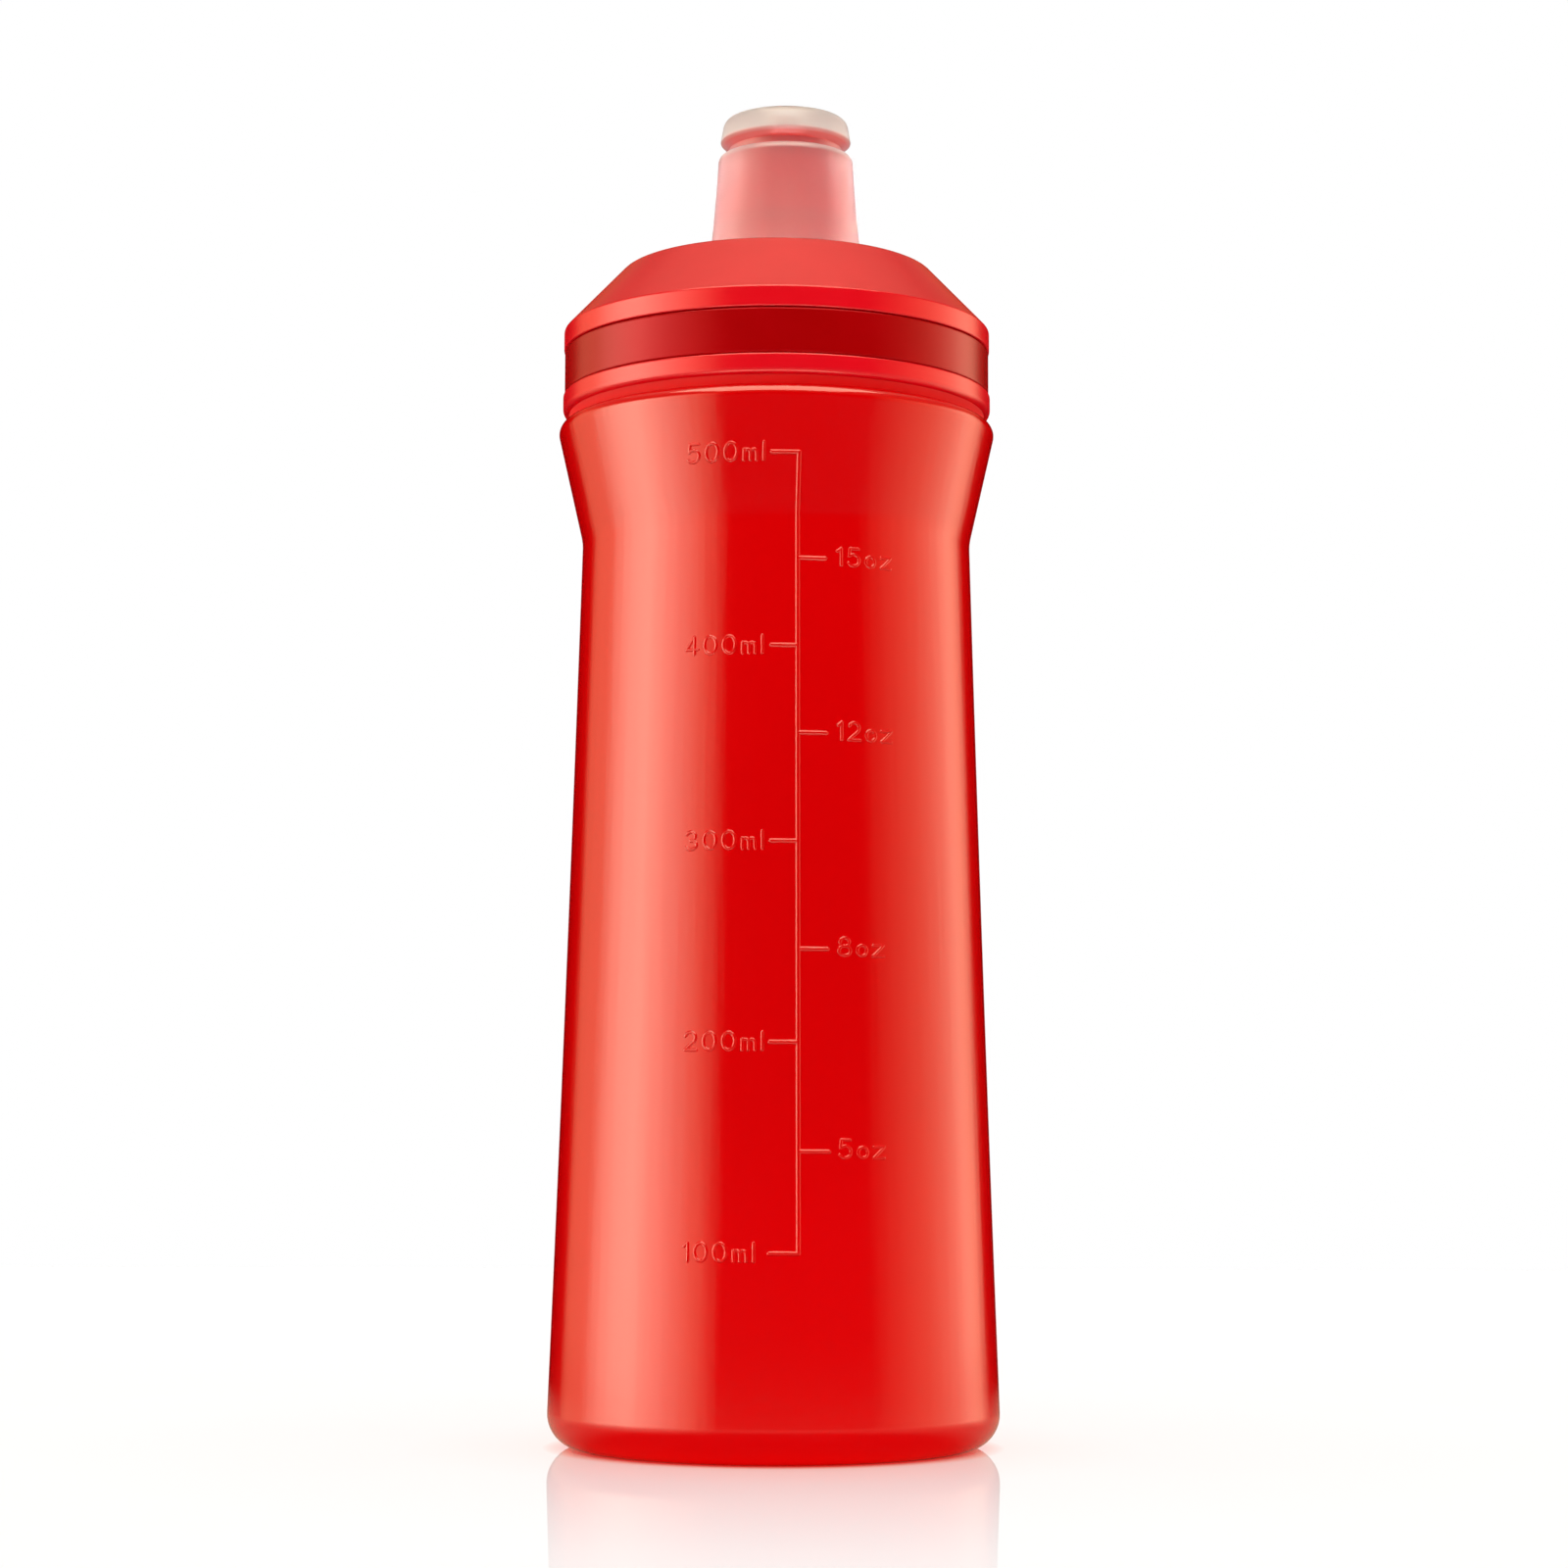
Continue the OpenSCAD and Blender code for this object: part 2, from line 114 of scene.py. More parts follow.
def close_tree(tree, given, grown):
    """Ends a tree: welded, smooth but for its creases, real and in its finish."""
    welded = add(tree, "GeometryNodeMergeByDistance", {"Geometry": grown, "Distance": WELD * MM})
    smooth = add(tree, "GeometryNodeSetShadeSmooth", {"Geometry": welded, "Shade Smooth": True})
    bend = add(tree, "GeometryNodeInputMeshEdgeAngle")
    sharp = add(tree, "FunctionNodeCompare", {0: bend, 1: CREASE}, operation="GREATER_THAN")
    crisp = add(tree, "GeometryNodeSetShadeSmooth",
                {"Geometry": smooth, "Selection": sharp, "Shade Smooth": False}, domain="EDGE")
    real = add(tree, "GeometryNodeRealizeInstances", {"Geometry": crisp})
    painted = add(tree, "GeometryNodeSetMaterial", {"Geometry": real, "Material": given["Finish"]})
    add(tree, "NodeGroupOutput", {"Piece": painted})
    return tree


def outline_grid(tree, given, count):
    """A grid of count + 1 columns, as tall as the outline has points: its mesh, and the column and the
    outline's point of each of its vertices."""
    size = add(tree, "GeometryNodeAttributeDomainSize", {"Geometry": given["Outline"]})
    columns = add(tree, "ShaderNodeMath", {0: count, 1: 1.0}, operation="ADD")
    grid = add(tree, "GeometryNodeMeshGrid", {"Vertices X": columns, "Vertices Y": size})
    index = add(tree, "GeometryNodeInputIndex")
    share = add(tree, "ShaderNodeMath", {0: index, 1: size}, operation="DIVIDE")
    column = add(tree, "ShaderNodeMath", {0: share}, operation="FLOOR")
    passed = add(tree, "ShaderNodeMath", {0: column, 1: size}, operation="MULTIPLY")
    row = add(tree, "ShaderNodeMath", {0: index, 1: passed}, operation="SUBTRACT")
    place = add(tree, "GeometryNodeInputPosition")
    point = add(tree, "GeometryNodeSampleIndex",
                {"Geometry": given["Outline"], "Value": place, "Index": row}, data_type="FLOAT_VECTOR")
    return grid.outputs["Mesh"], column, point


def repeated(tree, shape, count, centre=(0, 0, 0)):
    """Copies of a shape, turned evenly about the upright line through a point."""
    points = add(tree, "GeometryNodePoints", {"Count": count, "Position": centre})
    apart = add(tree, "ShaderNodeMath", {0: math.tau, 1: count}, operation="DIVIDE")
    index = add(tree, "GeometryNodeInputIndex")
    angle = add(tree, "ShaderNodeMath", {0: index, 1: apart}, operation="MULTIPLY")
    turn = add(tree, "ShaderNodeCombineXYZ", {"Z": angle})
    copies = add(tree, "GeometryNodeInstanceOnPoints",
                 {"Points": points, "Instance": shape, "Rotation": turn})
    return add(tree, "GeometryNodeRealizeInstances", {"Geometry": copies})


def turned_shell_tree():
    """Spins an outline of (radius, height) points. The bore can stand beside the outside's axis."""
    tree, given = geometry_tree("turned shell", (
        ("Segments", "Int"), ("Axis X", "Float"), ("Bore X", "Float"),
        ("Land Radius", "Float"), ("Bore Radius", "Float")))
    mesh, column, point = outline_grid(tree, given, given["Segments"])
    step = add(tree, "ShaderNodeMath", {0: math.tau, 1: given["Segments"]}, operation="DIVIDE")
    angle = add(tree, "ShaderNodeMath", {0: column, 1: step}, operation="MULTIPLY")
    spun = add(tree, "ShaderNodeVectorRotate", {"Vector": point, "Angle": angle}, rotation_type="Z_AXIS")
    radius = add(tree, "ShaderNodeSeparateXYZ", {0: point})
    inward = add(tree, "ShaderNodeMapRange", {
        "Value": radius, "From Min": given["Land Radius"], "From Max": given["Bore Radius"]})
    lean = add(tree, "ShaderNodeMath",
               {0: inward, 1: given["Bore X"], 2: given["Axis X"]}, operation="MULTIPLY_ADD")
    shift = add(tree, "ShaderNodeCombineXYZ", {"X": lean})
    where = add(tree, "ShaderNodeVectorMath", {0: spun, 1: shift}, operation="ADD")
    grown = add(tree, "GeometryNodeSetPosition", {"Geometry": mesh, "Position": where})
    return close_tree(tree, given, grown)


def thread_tree():
    """Winds a closed section of (out from the wall, up) points into a helix that fades into the wall at its
    ends."""
    tree, given = geometry_tree("thread ridges", (
        ("Steps", "Int"), ("Wall Radius", "Float"), ("Outward", "Float"), ("Lead", "Float"),
        ("Turns", "Float"), ("Fade", "Float"), ("Height", "Float"), ("Starts", "Int")))
    mesh, column, point = outline_grid(tree, given, given["Steps"])
    section = add(tree, "ShaderNodeSeparateXYZ", {0: point})
    along = add(tree, "ShaderNodeMath", {0: column, 1: given["Steps"]}, operation="DIVIDE")
    turned = add(tree, "ShaderNodeMath", {0: along, 1: given["Turns"]}, operation="MULTIPLY")
    angle = add(tree, "ShaderNodeMath", {0: turned, 1: math.tau}, operation="MULTIPLY")
    left = add(tree, "ShaderNodeMath", {0: 1.0, 1: along}, operation="SUBTRACT")
    nearest = add(tree, "ShaderNodeMath", {0: along, 1: left}, operation="MINIMUM")
    grow = add(tree, "ShaderNodeMapRange", {"Value": nearest, "From Max": given["Fade"]},
               interpolation_type="SMOOTHSTEP")
    out = add(tree, "ShaderNodeMath", {0: section, 1: grow}, operation="MULTIPLY")
    radius = add(tree, "ShaderNodeMath",
                 {0: out, 1: given["Outward"], 2: given["Wall Radius"]}, operation="MULTIPLY_ADD")
    up = add(tree, "ShaderNodeMath", {0: section.outputs["Z"], 1: grow}, operation="MULTIPLY")
    rise = add(tree, "ShaderNodeMath", {0: turned, 1: given["Lead"], 2: up}, operation="MULTIPLY_ADD")
    height = add(tree, "ShaderNodeMath", {0: rise, 1: given["Height"]}, operation="ADD")
    flat = add(tree, "ShaderNodeCombineXYZ", {"X": radius, "Z": height})
    wound = add(tree, "ShaderNodeVectorRotate", {"Vector": flat, "Angle": angle}, rotation_type="Z_AXIS")
    ridge = add(tree, "GeometryNodeSetPosition", {"Geometry": mesh, "Position": wound})
    closed = add(tree, "GeometryNodeMergeByDistance", {"Geometry": ridge, "Distance": WELD * MM})
    return close_tree(tree, given, repeated(tree, closed, given["Starts"]))


def ridge_tree():
    """Lays a round ridge along strokes, with a ball where each stroke ends."""
    tree, given = geometry_tree("raised strokes", (("Ridge Radius", "Float"), ("Sides", "Int")))
    strokes = add(tree, "GeometryNodeMeshToCurve", {"Mesh": given["Outline"]})
    round_section = add(tree, "GeometryNodeCurvePrimitiveCircle",
                        {"Resolution": given["Sides"], "Radius": given["Ridge Radius"]})
    ridges = add(tree, "GeometryNodeCurveToMesh",
                 {"Curve": strokes, "Profile Curve": round_section, "Fill Caps": True})
    ends = add(tree, "GeometryNodeCurveEndpointSelection")
    ball = add(tree, "GeometryNodeMeshIcoSphere", {"Radius": given["Ridge Radius"], "Subdivisions": 3})
    balls = add(tree, "GeometryNodeInstanceOnPoints",
                {"Points": strokes, "Selection": ends, "Instance": ball})
    both = add(tree, "GeometryNodeJoinGeometry", {"Geometry": balls})
    tree.links.new(ridges.outputs[0], both.inputs[0])
    real = add(tree, "GeometryNodeRealizeInstances", {"Geometry": both})
    return close_tree(tree, given, real)


def spoke_tree():
    """Repeats one spoke round the plug."""
    tree, given = geometry_tree("spokes", (("Count", "Int"), ("Axis X", "Float")))
    centre = add(tree, "ShaderNodeCombineXYZ", {"X": given["Axis X"]})
    return close_tree(tree, given, repeated(tree, given["Outline"], given["Count"], centre))


def grow(name, tree, base, finish, body, slot, stands_for=(), **sizes):
    """Grows a piece from its base mesh with a tree, makes it a plain mesh and lets it ride on its body."""
    piece = bpy.data.objects.new(name, base)
    bpy.context.collection.objects.link(piece)
    modifier = piece.modifiers.new(tree.name, "NODES")
    modifier.node_group = tree
    values = {"Finish": finish, **{key.replace("_", " "): value for key, value in sizes.items()}}
    for item in tree.interface.items_tree:
        if item.in_out == "INPUT" and item.name in values:
            modifier[item.identifier] = values[item.name]
    bpy.context.view_layer.update()
    shown = piece.evaluated_get(bpy.context.evaluated_depsgraph_get())
    plain = bpy.data.meshes.new_from_object(shown)
    piece.modifiers.clear()
    piece.data = plain
    plain.name = name
    if plain.materials[0] is None:
        plain.materials.pop(index=0)
    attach(piece, body)
    if stands_for:
        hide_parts(*stands_for)
    return piece


# ---------------------------------------------------------------- outlines

def rounded(path):
    """Points of a path whose corners are (radius, height) or (radius, height, corner radius)."""
    flat = [Vector(p[:2]) for p in path]
    last = len(path) - 1
    reach, bend = [0.0] * len(path), [0.0] * len(path)
    for i, p in enumerate(path):
        if len(p) == 3 and 0 < i < last:
            bend[i] = (flat[i - 1] - flat[i]).angle(flat[i + 1] - flat[i])
            reach[i] = p[2] / math.tan(bend[i] / 2)
    points = []
    for i, corner in enumerate(flat):
        if not reach[i]:
            points.append(corner)
            continue
        radius, half = path[i][2], bend[i] / 2
        back, ahead = flat[i - 1] - corner, flat[i + 1] - corner
        room = [back.length - reach[i] - reach[i - 1], ahead.length - reach[i] - reach[i + 1]]
        back.normalize()
        ahead.normalize()
        centre = corner + (back + ahead).normalized() * radius / math.sin(half)
        first, sweep = corner + back * reach[i] - centre, math.pi - bend[i]
        side = math.copysign(1, first.cross(corner + ahead * reach[i] - centre))
        steps = max(2, math.ceil(sweep / ARC_STEP))
        points.append(corner + back * (reach[i] + min(HOLD, room[0] / 3)))
        for k in range(steps + 1):
            points.append(centre + Matrix.Rotation(side * sweep * k / steps, 2) @ first)
        points.append(corner + ahead * (reach[i] + min(HOLD, room[1] / 3)))
    return [p for k, p in enumerate(points) if not k or (p - points[k - 1]).length > WELD]


def bowed(a, b, bow, steps=16):
    """Inner points of a side from a to b that bows towards the axis."""
    shares = [k / steps for k in range(1, steps)]
    return [(a[0] + (b[0] - a[0]) * t - 4 * bow * t * (1 - t), a[1] + (b[1] - a[1]) * t) for t in shares]


def outline(name, points):
    """A base mesh of (radius, height) points."""
    made = bpy.data.meshes.new(name)
    made.from_pydata([(x * MM, 0, z * MM) for x, z in points], [], [])
    return made


def ring(points):
    """A closed outline: its first point again at its end."""
    return [*points, points[0]]


# ---------------------------------------------------------------- sizes

def box_mm(node):
    low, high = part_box(node)
    return low / MM, high / MM


bottle_high = box_mm("bottle")[1]
cap_low, cap_high = box_mm("cap_shell")
band_low, band_high = box_mm("grip_band")
gasket_low, gasket_high = box_mm("cap_gasket")
nozzle_low, nozzle_high = box_mm("nozzle")
stem_high = box_mm("spout_stem")[1]

# Bottle
base_r, base_corner_r, waist_r, waist_h, waist_blend_r = 36.9, 5.5, 32.1, 148, 8
flare_bow, shoulder_r, grip_h, shoulder_edge_r, shoulder_rise = 0.2, 36.6, 19.7, 1.9, 0.7
wall_t, pushup_h, pushup_r, foot_inner_r, pushup_edge_r, foot_edge_r = 1.2, 6, 16, 26, 4, 1.5
shoulder_inner_r, neck_r, neck_wall_t, lip_r, neck_root_r, bore_root_r = 0.5, 30.5, 2, 0.6, 0.5, 1
# The ledge on the shoulder, which closes the gap under the cap
ledge_foot_r, ledge_r, ledge_rise, ledge_gap = 33.6, 34.6, 0.35, 0.01
shoulder_h = waist_h + grip_h
neck_top = bottle_high.z
bore_r = neck_r - neck_wall_t

# Thread
thread_lead, thread_starts, thread_turns, thread_h, thread_drop = 8, 2, 0.7, 1.3, 3.2
thread_root_w, thread_crest_w, thread_gap, thread_root, thread_edge_r = 2.4, 1.2, 0.5, 0.3, 0.3
thread_steps, thread_fade = 84, 0.12    # points along a ridge, and the share of it that fades at each end

# Cap
cap_z, land_z, ring_r = cap_low.z, cap_high.z, cap_high.x
skirt_r = neck_r + thread_h + thread_gap
rim_wall_t, ring_h, rim_h, cone_w, cone_h = 3.2, 3.25, 3.25, 9.9, 10.4
rim_r = skirt_r + rim_wall_t
ring_edge_r, top_edge_r, groove_edge_r, rim_edge_r, plate_edge_r = 1, 2, 0.3, 0.5, 1.5
plate_t, cone_t, mouth_w, mouth_h, seat_gap, pass_gap = 2, 2, 0.6, 0.8, 0.05, 0.3
band_t, band_edge_r, gasket_edge_r, gasket_lap, land_margin, land_edge_r = 1.2, 0.4, 0.2, 0.5, 1, 3
ring_top = cap_z + ring_h
rim_z = band_high.z + 2 * seat_gap
rim_top = rim_z + rim_h
cap_top = rim_top + cone_h
top_r = rim_r - cone_w
seat_z = gasket_high.z + seat_gap
seat_inner_r = bore_r - gasket_lap
cone_slope = cone_h / cone_w
plate_z = land_z - plate_t
cone_drop = cone_t * math.hypot(1, cone_slope)
plate_r = rim_r - (plate_z + cone_drop - rim_top) / cone_slope
band_r = band_high.x
band_seat_r = band_r - band_t - seat_gap

# Stem and nozzle
spout_x = (nozzle_low.x + nozzle_high.x) / 2
stem_r, stem_wall_t, flange_w, flange_t, plug_r, plug_edge_r = 8.3, 1.5, 3.2, 1.6, 2.6, 0.8
spoke_w, spoke_h, spoke_count, bead_h, bead_edge_h = 1.6, 2.6, 3, 1.6, 0.5
flange_edge_r, stem_edge_r, spoke_root = 0.4, 0.4, 0.4
slide_gap, rib_gap, rib_hook, rib_h, nozzle_travel = 0.1, 0.45, 0.7, 1.4, 6
nozzle_flare, nozzle_bow, nozzle_edge_r, lower_wall_t, lower_bore_h = 1.75, 0.2, 1.1, 1.5, 14.5
groove_z, groove_root_h, groove_wall_t, groove_slope_h, groove_foot_h = 19.6, 1.4, 1.1, 1.2, 0.3
lip_inset, head_lip_r, head_inset, head_h, head_edge_r = 0.3, 0.3, 1, 3.85, 1.6
head_dome, head_t, outlet_edge_r = 0.25, 4, 0.4
taper_above, taper_below, taper_r = 3, 4, 8      # the bore's smooth taper above and below its step
upper_bore_r = stem_r + slide_gap
rib_r = stem_r + rib_gap
bead_r = rib_r + rib_hook
lower_bore_r = bead_r + pass_gap
groove_root_r = upper_bore_r + groove_wall_t
side_top_r = lower_bore_r + lower_wall_t
side_foot_r = side_top_r + nozzle_flare
outlet_r = plug_r + slide_gap
land_r = side_foot_r + spout_x + land_margin
nozzle_z = nozzle_low.z
rib_z = nozzle_z + pass_gap
bead_z = rib_z + rib_h + nozzle_travel + pass_gap
side_top = nozzle_z + groove_z
root_top = side_top + groove_root_h
lip_z = root_top + groove_slope_h
head_top = lip_z + head_h
ceiling_z = head_top - head_t
stem_top = ceiling_z - 2 * pass_gap
plug_top = stem_high.z


# ---------------------------------------------------------------- finishes

# The red of the bottle's wall at heights in millimetres; its lightening towards the foot is painted bounce
# light from the table
WALL_RED_AND_PAINTED_BOUNCE = ((0, "#ee0004"), (22, "#ec0004"), (37, "#ea0004"), (55, "#e30003"), (85, "#dd0003"),
            (140, "#dd0003"), (155, "#dc0003"))
PATCH_SHADE = 0.97      # how much of the red its darkest patches keep
SATIN, MATT = (0.11, 0.15), 0.75        # roughness of the wall, and of the ledge and neck above it
matt_foot = 0.2         # how far above the shoulder the matt skin begins


def mottle(tree, place, size, detail):
    """Noise with patches of about a size in millimetres."""
    return add(tree, "ShaderNodeTexNoise", {"Vector": place, "Scale": 1 / (size * MM), "Detail": detail})


def relief(tree, height, depth, under=None):
    """A fine relief of a depth in millimetres, on top of another where one is given."""
    links = {"Height": height, "Strength": 1.0, "Distance": depth * MM}
    if under is not None:
        links["Normal"] = under
    return add(tree, "ShaderNodeBump", links)


def blow_moulded_polyethylene():
    """Blow-moulded LDPE. The soft satin skin shows a faint orange peel and the upright flow lines of the
    parison, which streak its long highlights."""
    material, tree = blank_material("blow-moulded polyethylene, satin red")
    place = add(tree, "ShaderNodeTexCoord").outputs["Object"]
    upright = add(tree, "ShaderNodeMapping", {"Vector": place, "Scale": (1, 1, 0.02)})
    # flow lines about 1.5 mm apart, orange peel about 2.5 mm across, mould grain of 0.3 mm
    lines = mottle(tree, upright, 1.5, 2)
    peel = mottle(tree, place, 2.5, 1)
    grain = mottle(tree, place, 0.3, 1)
    patches = mottle(tree, place, 40, 2)
    # the red is brighter towards the foot: painted bounce light from the table
    height = add(tree, "ShaderNodeSeparateXYZ", {0: place}).outputs["Z"]
    up = add(tree, "ShaderNodeMath", {0: height, 1: 1 / (shoulder_h * MM)}, operation="MULTIPLY")
    depth = add(tree, "ShaderNodeValToRGB", {"Fac": up},
                stops=[(z / shoulder_h, linear(code)) for z, code in WALL_RED_AND_PAINTED_BOUNCE])
    uneven = add(tree, "ShaderNodeValToRGB", {"Fac": patches}, stops=((0.3, PATCH_SHADE), (0.7, 1)))
    colour = add(tree, "ShaderNodeMix", {0: 1.0, 6: depth, 7: uneven}, data_type="RGBA",
                 blend_type="MULTIPLY").outputs[2]
    satin = add(tree, "ShaderNodeMapRange", {"Value": lines, "To Min": SATIN[0], "To Max": SATIN[1]})
    # the ledge and the neck are matt, so that no bright line shows in the gap under the cap
    rough = between(tree, height, (shoulder_h + matt_foot) * MM, (shoulder_h + ledge_rise) * MM, satin, MATT)
    waves = relief(tree, lines, 0.025)
    peeled = relief(tree, peel, 0.012, waves)
    skin = relief(tree, grain, 0.0015, peeled)
    shader = add(tree, "ShaderNodeBsdfPrincipled",
                 {"Base Color": colour, "Roughness": rough, "IOR": 1.51, "Normal": skin})
    add(tree, "ShaderNodeOutputMaterial", {"Surface": shader})
    return material


def spark_eroded_polypropylene():
    """Injection-moulded PP from a spark-eroded mould: a fine even grain that scatters the highlights."""
    material, tree = blank_material("injection-moulded polypropylene, matt red")
    place = add(tree, "ShaderNodeTexCoord").outputs["Object"]
    # the erosion grain is about 0.05 mm, drawn at 0.25 mm so that it shows
    grain = mottle(tree, place, 0.25, 2)
    patches = mottle(tree, place, 9, 3)
    colour = add(tree, "ShaderNodeValToRGB", {"Fac": patches},
                 stops=((0.3, linear("#e20115")), (0.7, linear("#e60318"))))
    rough = add(tree, "ShaderNodeMapRange", {"Value": patches, "To Min": 0.22, "To Max": 0.26})
    skin = relief(tree, grain, 0.006)
    shader = add(tree, "ShaderNodeBsdfPrincipled",
                 {"Base Color": colour, "Roughness": rough, "IOR": 1.49, "Normal": skin})
    add(tree, "ShaderNodeOutputMaterial", {"Surface": shader})
    return material


def soft_grip_elastomer():
    """Injection-moulded TPE: a darker, rubbery satin with a very fine grain and highlights tinted red."""
    material, tree = blank_material("thermoplastic elastomer, dark red")
    place = add(tree, "ShaderNodeTexCoord").outputs["Object"]
    grain = mottle(tree, place, 0.3, 2)
    patches = mottle(tree, place, 12, 2)
    colour = add(tree, "ShaderNodeValToRGB", {"Fac": patches},
                 stops=((0.3, linear("#a20001")), (0.7, linear("#a80004"))))
    rough = add(tree, "ShaderNodeMapRange", {"Value": patches, "To Min": 0.22, "To Max": 0.26})
    skin = relief(tree, grain, 0.003)
    shader = add(tree, "ShaderNodeBsdfPrincipled",
                 {"Base Color": colour, "Roughness": rough, "IOR": 1.46,
                  "Specular Tint": (1, 0.16, 0.22, 1), "Normal": skin})
    add(tree, "ShaderNodeOutputMaterial", {"Surface": shader})
    return material


# How clear the nozzle's wall is, and the pink cast painted on it for the red stem behind it, by height above
# its foot: the side, its top edge, the groove and the head
# the milkier, whiter band from 18.9 to 19.5 mm, along the side's top edge, is a painted highlight
CLARITY = ((0, 0.65), (3, 0.82), (18.4, 0.86), (18.9, 0.55), (19.5, 0.55), (19.9, 0.92), (21.4, 0.94),
           (22.2, 0.45))
CAST = ((0, "#f4c8c2"), (5, "#f2aca8"), (12, "#ee9a98"), (18.4, "#ea9a9a"), (18.9, "#eed0c8"),
        (19.5, "#eed0c8"), (19.9, "#f08a86"), (21, "#ea4040"), (21.7, "#ee4c4a"), (22.5, "#e2d4ca"))
HEAD_CLARITY, HEAD_WHITE = 0.4, "#cdc3ba"       # at the very top
bore_skin = (0.2, 0.5)  # how far inside the groove's root the bore's clear skin begins and is full


def natural_polyethylene():
    """Uncoloured injection-moulded PE, milky and translucent. The clear side shows the red stem, and the head
    is off-white."""
    material, tree = blank_material("injection-moulded polyethylene, natural milky")
    place = add(tree, "ShaderNodeTexCoord").outputs["Object"]
    height = add(tree, "ShaderNodeSeparateXYZ", {0: place}).outputs["Z"]
    tall = nozzle_high.z - nozzle_z
    share = between(tree, height, nozzle_z * MM, nozzle_high.z * MM)
    wall = add(tree, "ShaderNodeValToRGB", {"Fac": share},
               stops=[(z / tall, level) for z, level in (*CLARITY, (tall, HEAD_CLARITY))])
    # the bore's skin is clear: the whole wall's milk is on its outside
    radius = distance(tree, place, spout_x * MM)
    inside = between(tree, radius, (groove_root_r - bore_skin[0]) * MM, (groove_root_r - bore_skin[1]) * MM)
    clear = add(tree, "ShaderNodeMath", {0: wall, 1: inside}, operation="MAXIMUM")
    grain = mottle(tree, place, 0.35, 2)
    cast = add(tree, "ShaderNodeValToRGB", {"Fac": share},
               stops=[(z / tall, linear(code)) for z, code in (*CAST, (tall, HEAD_WHITE))])
    skin = relief(tree, grain, 0.003)
    shader = add(tree, "ShaderNodeBsdfPrincipled", {
        "Base Color": cast, "Roughness": 0.36, "IOR": 1.45, "Transmission Weight": clear,
        "Sheen Weight": 0.3, "Sheen Roughness": 0.3, "Sheen Tint": WHITE, "Normal": skin})
    add(tree, "ShaderNodeOutputMaterial", {"Surface": shader})
    return material


def dyed_polyethylene():
    """Injection-moulded PE dyed red, smooth from a polished mould."""
    material, tree = blank_material("injection-moulded polyethylene, red")
    place = add(tree, "ShaderNodeTexCoord").outputs["Object"]
    grain = mottle(tree, place, 0.8, 2)
    colour = add(tree, "ShaderNodeValToRGB", {"Fac": grain},
                 stops=((0.3, linear("#c8000c")), (0.7, linear("#d0000e"))))
    skin = relief(tree, grain, 0.004)
    shader = add(tree, "ShaderNodeBsdfPrincipled",
                 {"Base Color": colour, "Roughness": 0.3, "IOR": 1.51, "Normal": skin})
    add(tree, "ShaderNodeOutputMaterial", {"Surface": shader})
    return material


def pressed_silicone():
    """Compression-moulded silicone: off-white, with a soft dull skin."""
    material, tree = blank_material("compression-moulded silicone, natural")
    place = add(tree, "ShaderNodeTexCoord").outputs["Object"]
    grain = mottle(tree, place, 0.4, 2)
    colour = add(tree, "ShaderNodeValToRGB", {"Fac": grain},
                 stops=((0.3, linear("#e6e2dc")), (0.7, linear("#ece9e3"))))
    skin = relief(tree, grain, 0.005)
    shader = add(tree, "ShaderNodeBsdfPrincipled",
                 {"Base Color": colour, "Roughness": 0.5, "IOR": 1.41, "Normal": skin})
    add(tree, "ShaderNodeOutputMaterial", {"Surface": shader})
    return material


satin_red = blow_moulded_polyethylene()
matt_red = spark_eroded_polypropylene()
dark_red = soft_grip_elastomer()
milky = natural_polyethylene()
stem_red = dyed_polyethylene()
silicone = pressed_silicone()

shell = turned_shell_tree()
threads = thread_tree()
ridges = ridge_tree()
spokes = spoke_tree()
# A shell whose bore shares the axis of its outside
PLAIN_BORE = dict(Bore_X=0.0, Land_Radius=2.0, Bore_Radius=1.0)


def turn(name, points, finish, body, slot, stands_for=(), axis_x=0.0, **bore):
    """A spun piece."""
    return grow(name, shell, outline(name, points), finish, body, slot, stands_for,
                Segments=SEGMENTS, Axis_X=axis_x * MM, **{**PLAIN_BORE, **bore})


# ---------------------------------------------------------------- bottle

waist, foot = (waist_r, waist_h), (base_r, 0)
bottle_path = rounded([
    (0, pushup_h), (pushup_r, pushup_h, pushup_edge_r), (foot_inner_r, 0, foot_edge_r),
    (base_r, 0, base_corner_r), *bowed(foot, waist, flare_bow),
    (waist_r, waist_h, waist_blend_r), (shoulder_r, shoulder_h, shoulder_edge_r),
    (ledge_foot_r, shoulder_h + ledge_rise), (ledge_r, cap_z - ledge_gap),
    (neck_r, cap_z - ledge_gap, neck_root_r), (neck_r, neck_top, lip_r),
    (bore_r, neck_top, lip_r), (bore_r, shoulder_h - wall_t + shoulder_rise, bore_root_r),
    (shoulder_r - wall_t, shoulder_h - wall_t, shoulder_inner_r),
    (waist_r - wall_t, waist_h, waist_blend_r),
    *bowed((waist_r - wall_t, waist_h), (base_r - wall_t, 0), flare_bow),
    (base_r - wall_t, wall_t, base_corner_r - wall_t), (foot_inner_r, wall_t, foot_edge_r),
    (pushup_r, pushup_h + wall_t, pushup_edge_r), (0, pushup_h + wall_t)])
turn("bottle_wall", bottle_path, satin_red, "bottle_body", "bottle_plastic", ["bottle"])

crest = thread_h + thread_root
section = rounded([
    (0, -thread_root_w / 2), (crest, -thread_crest_w / 2, thread_edge_r),
    (crest, thread_crest_w / 2, thread_edge_r), (0, thread_root_w / 2)])
neck_thread_z = neck_top - thread_drop - thread_lead * thread_turns
helix = dict(Steps=thread_steps, Lead=thread_lead * MM, Turns=thread_turns, Fade=thread_fade,
             Starts=thread_starts)
grow("neck_thread", threads, outline("neck_thread", ring(section)), satin_red, "bottle_body",
     "bottle_plastic", Wall_Radius=(neck_r - thread_root) * MM, Outward=1.0,
     Height=neck_thread_z * MM, **helix)


# ---------------------------------------------------------------- volume scale

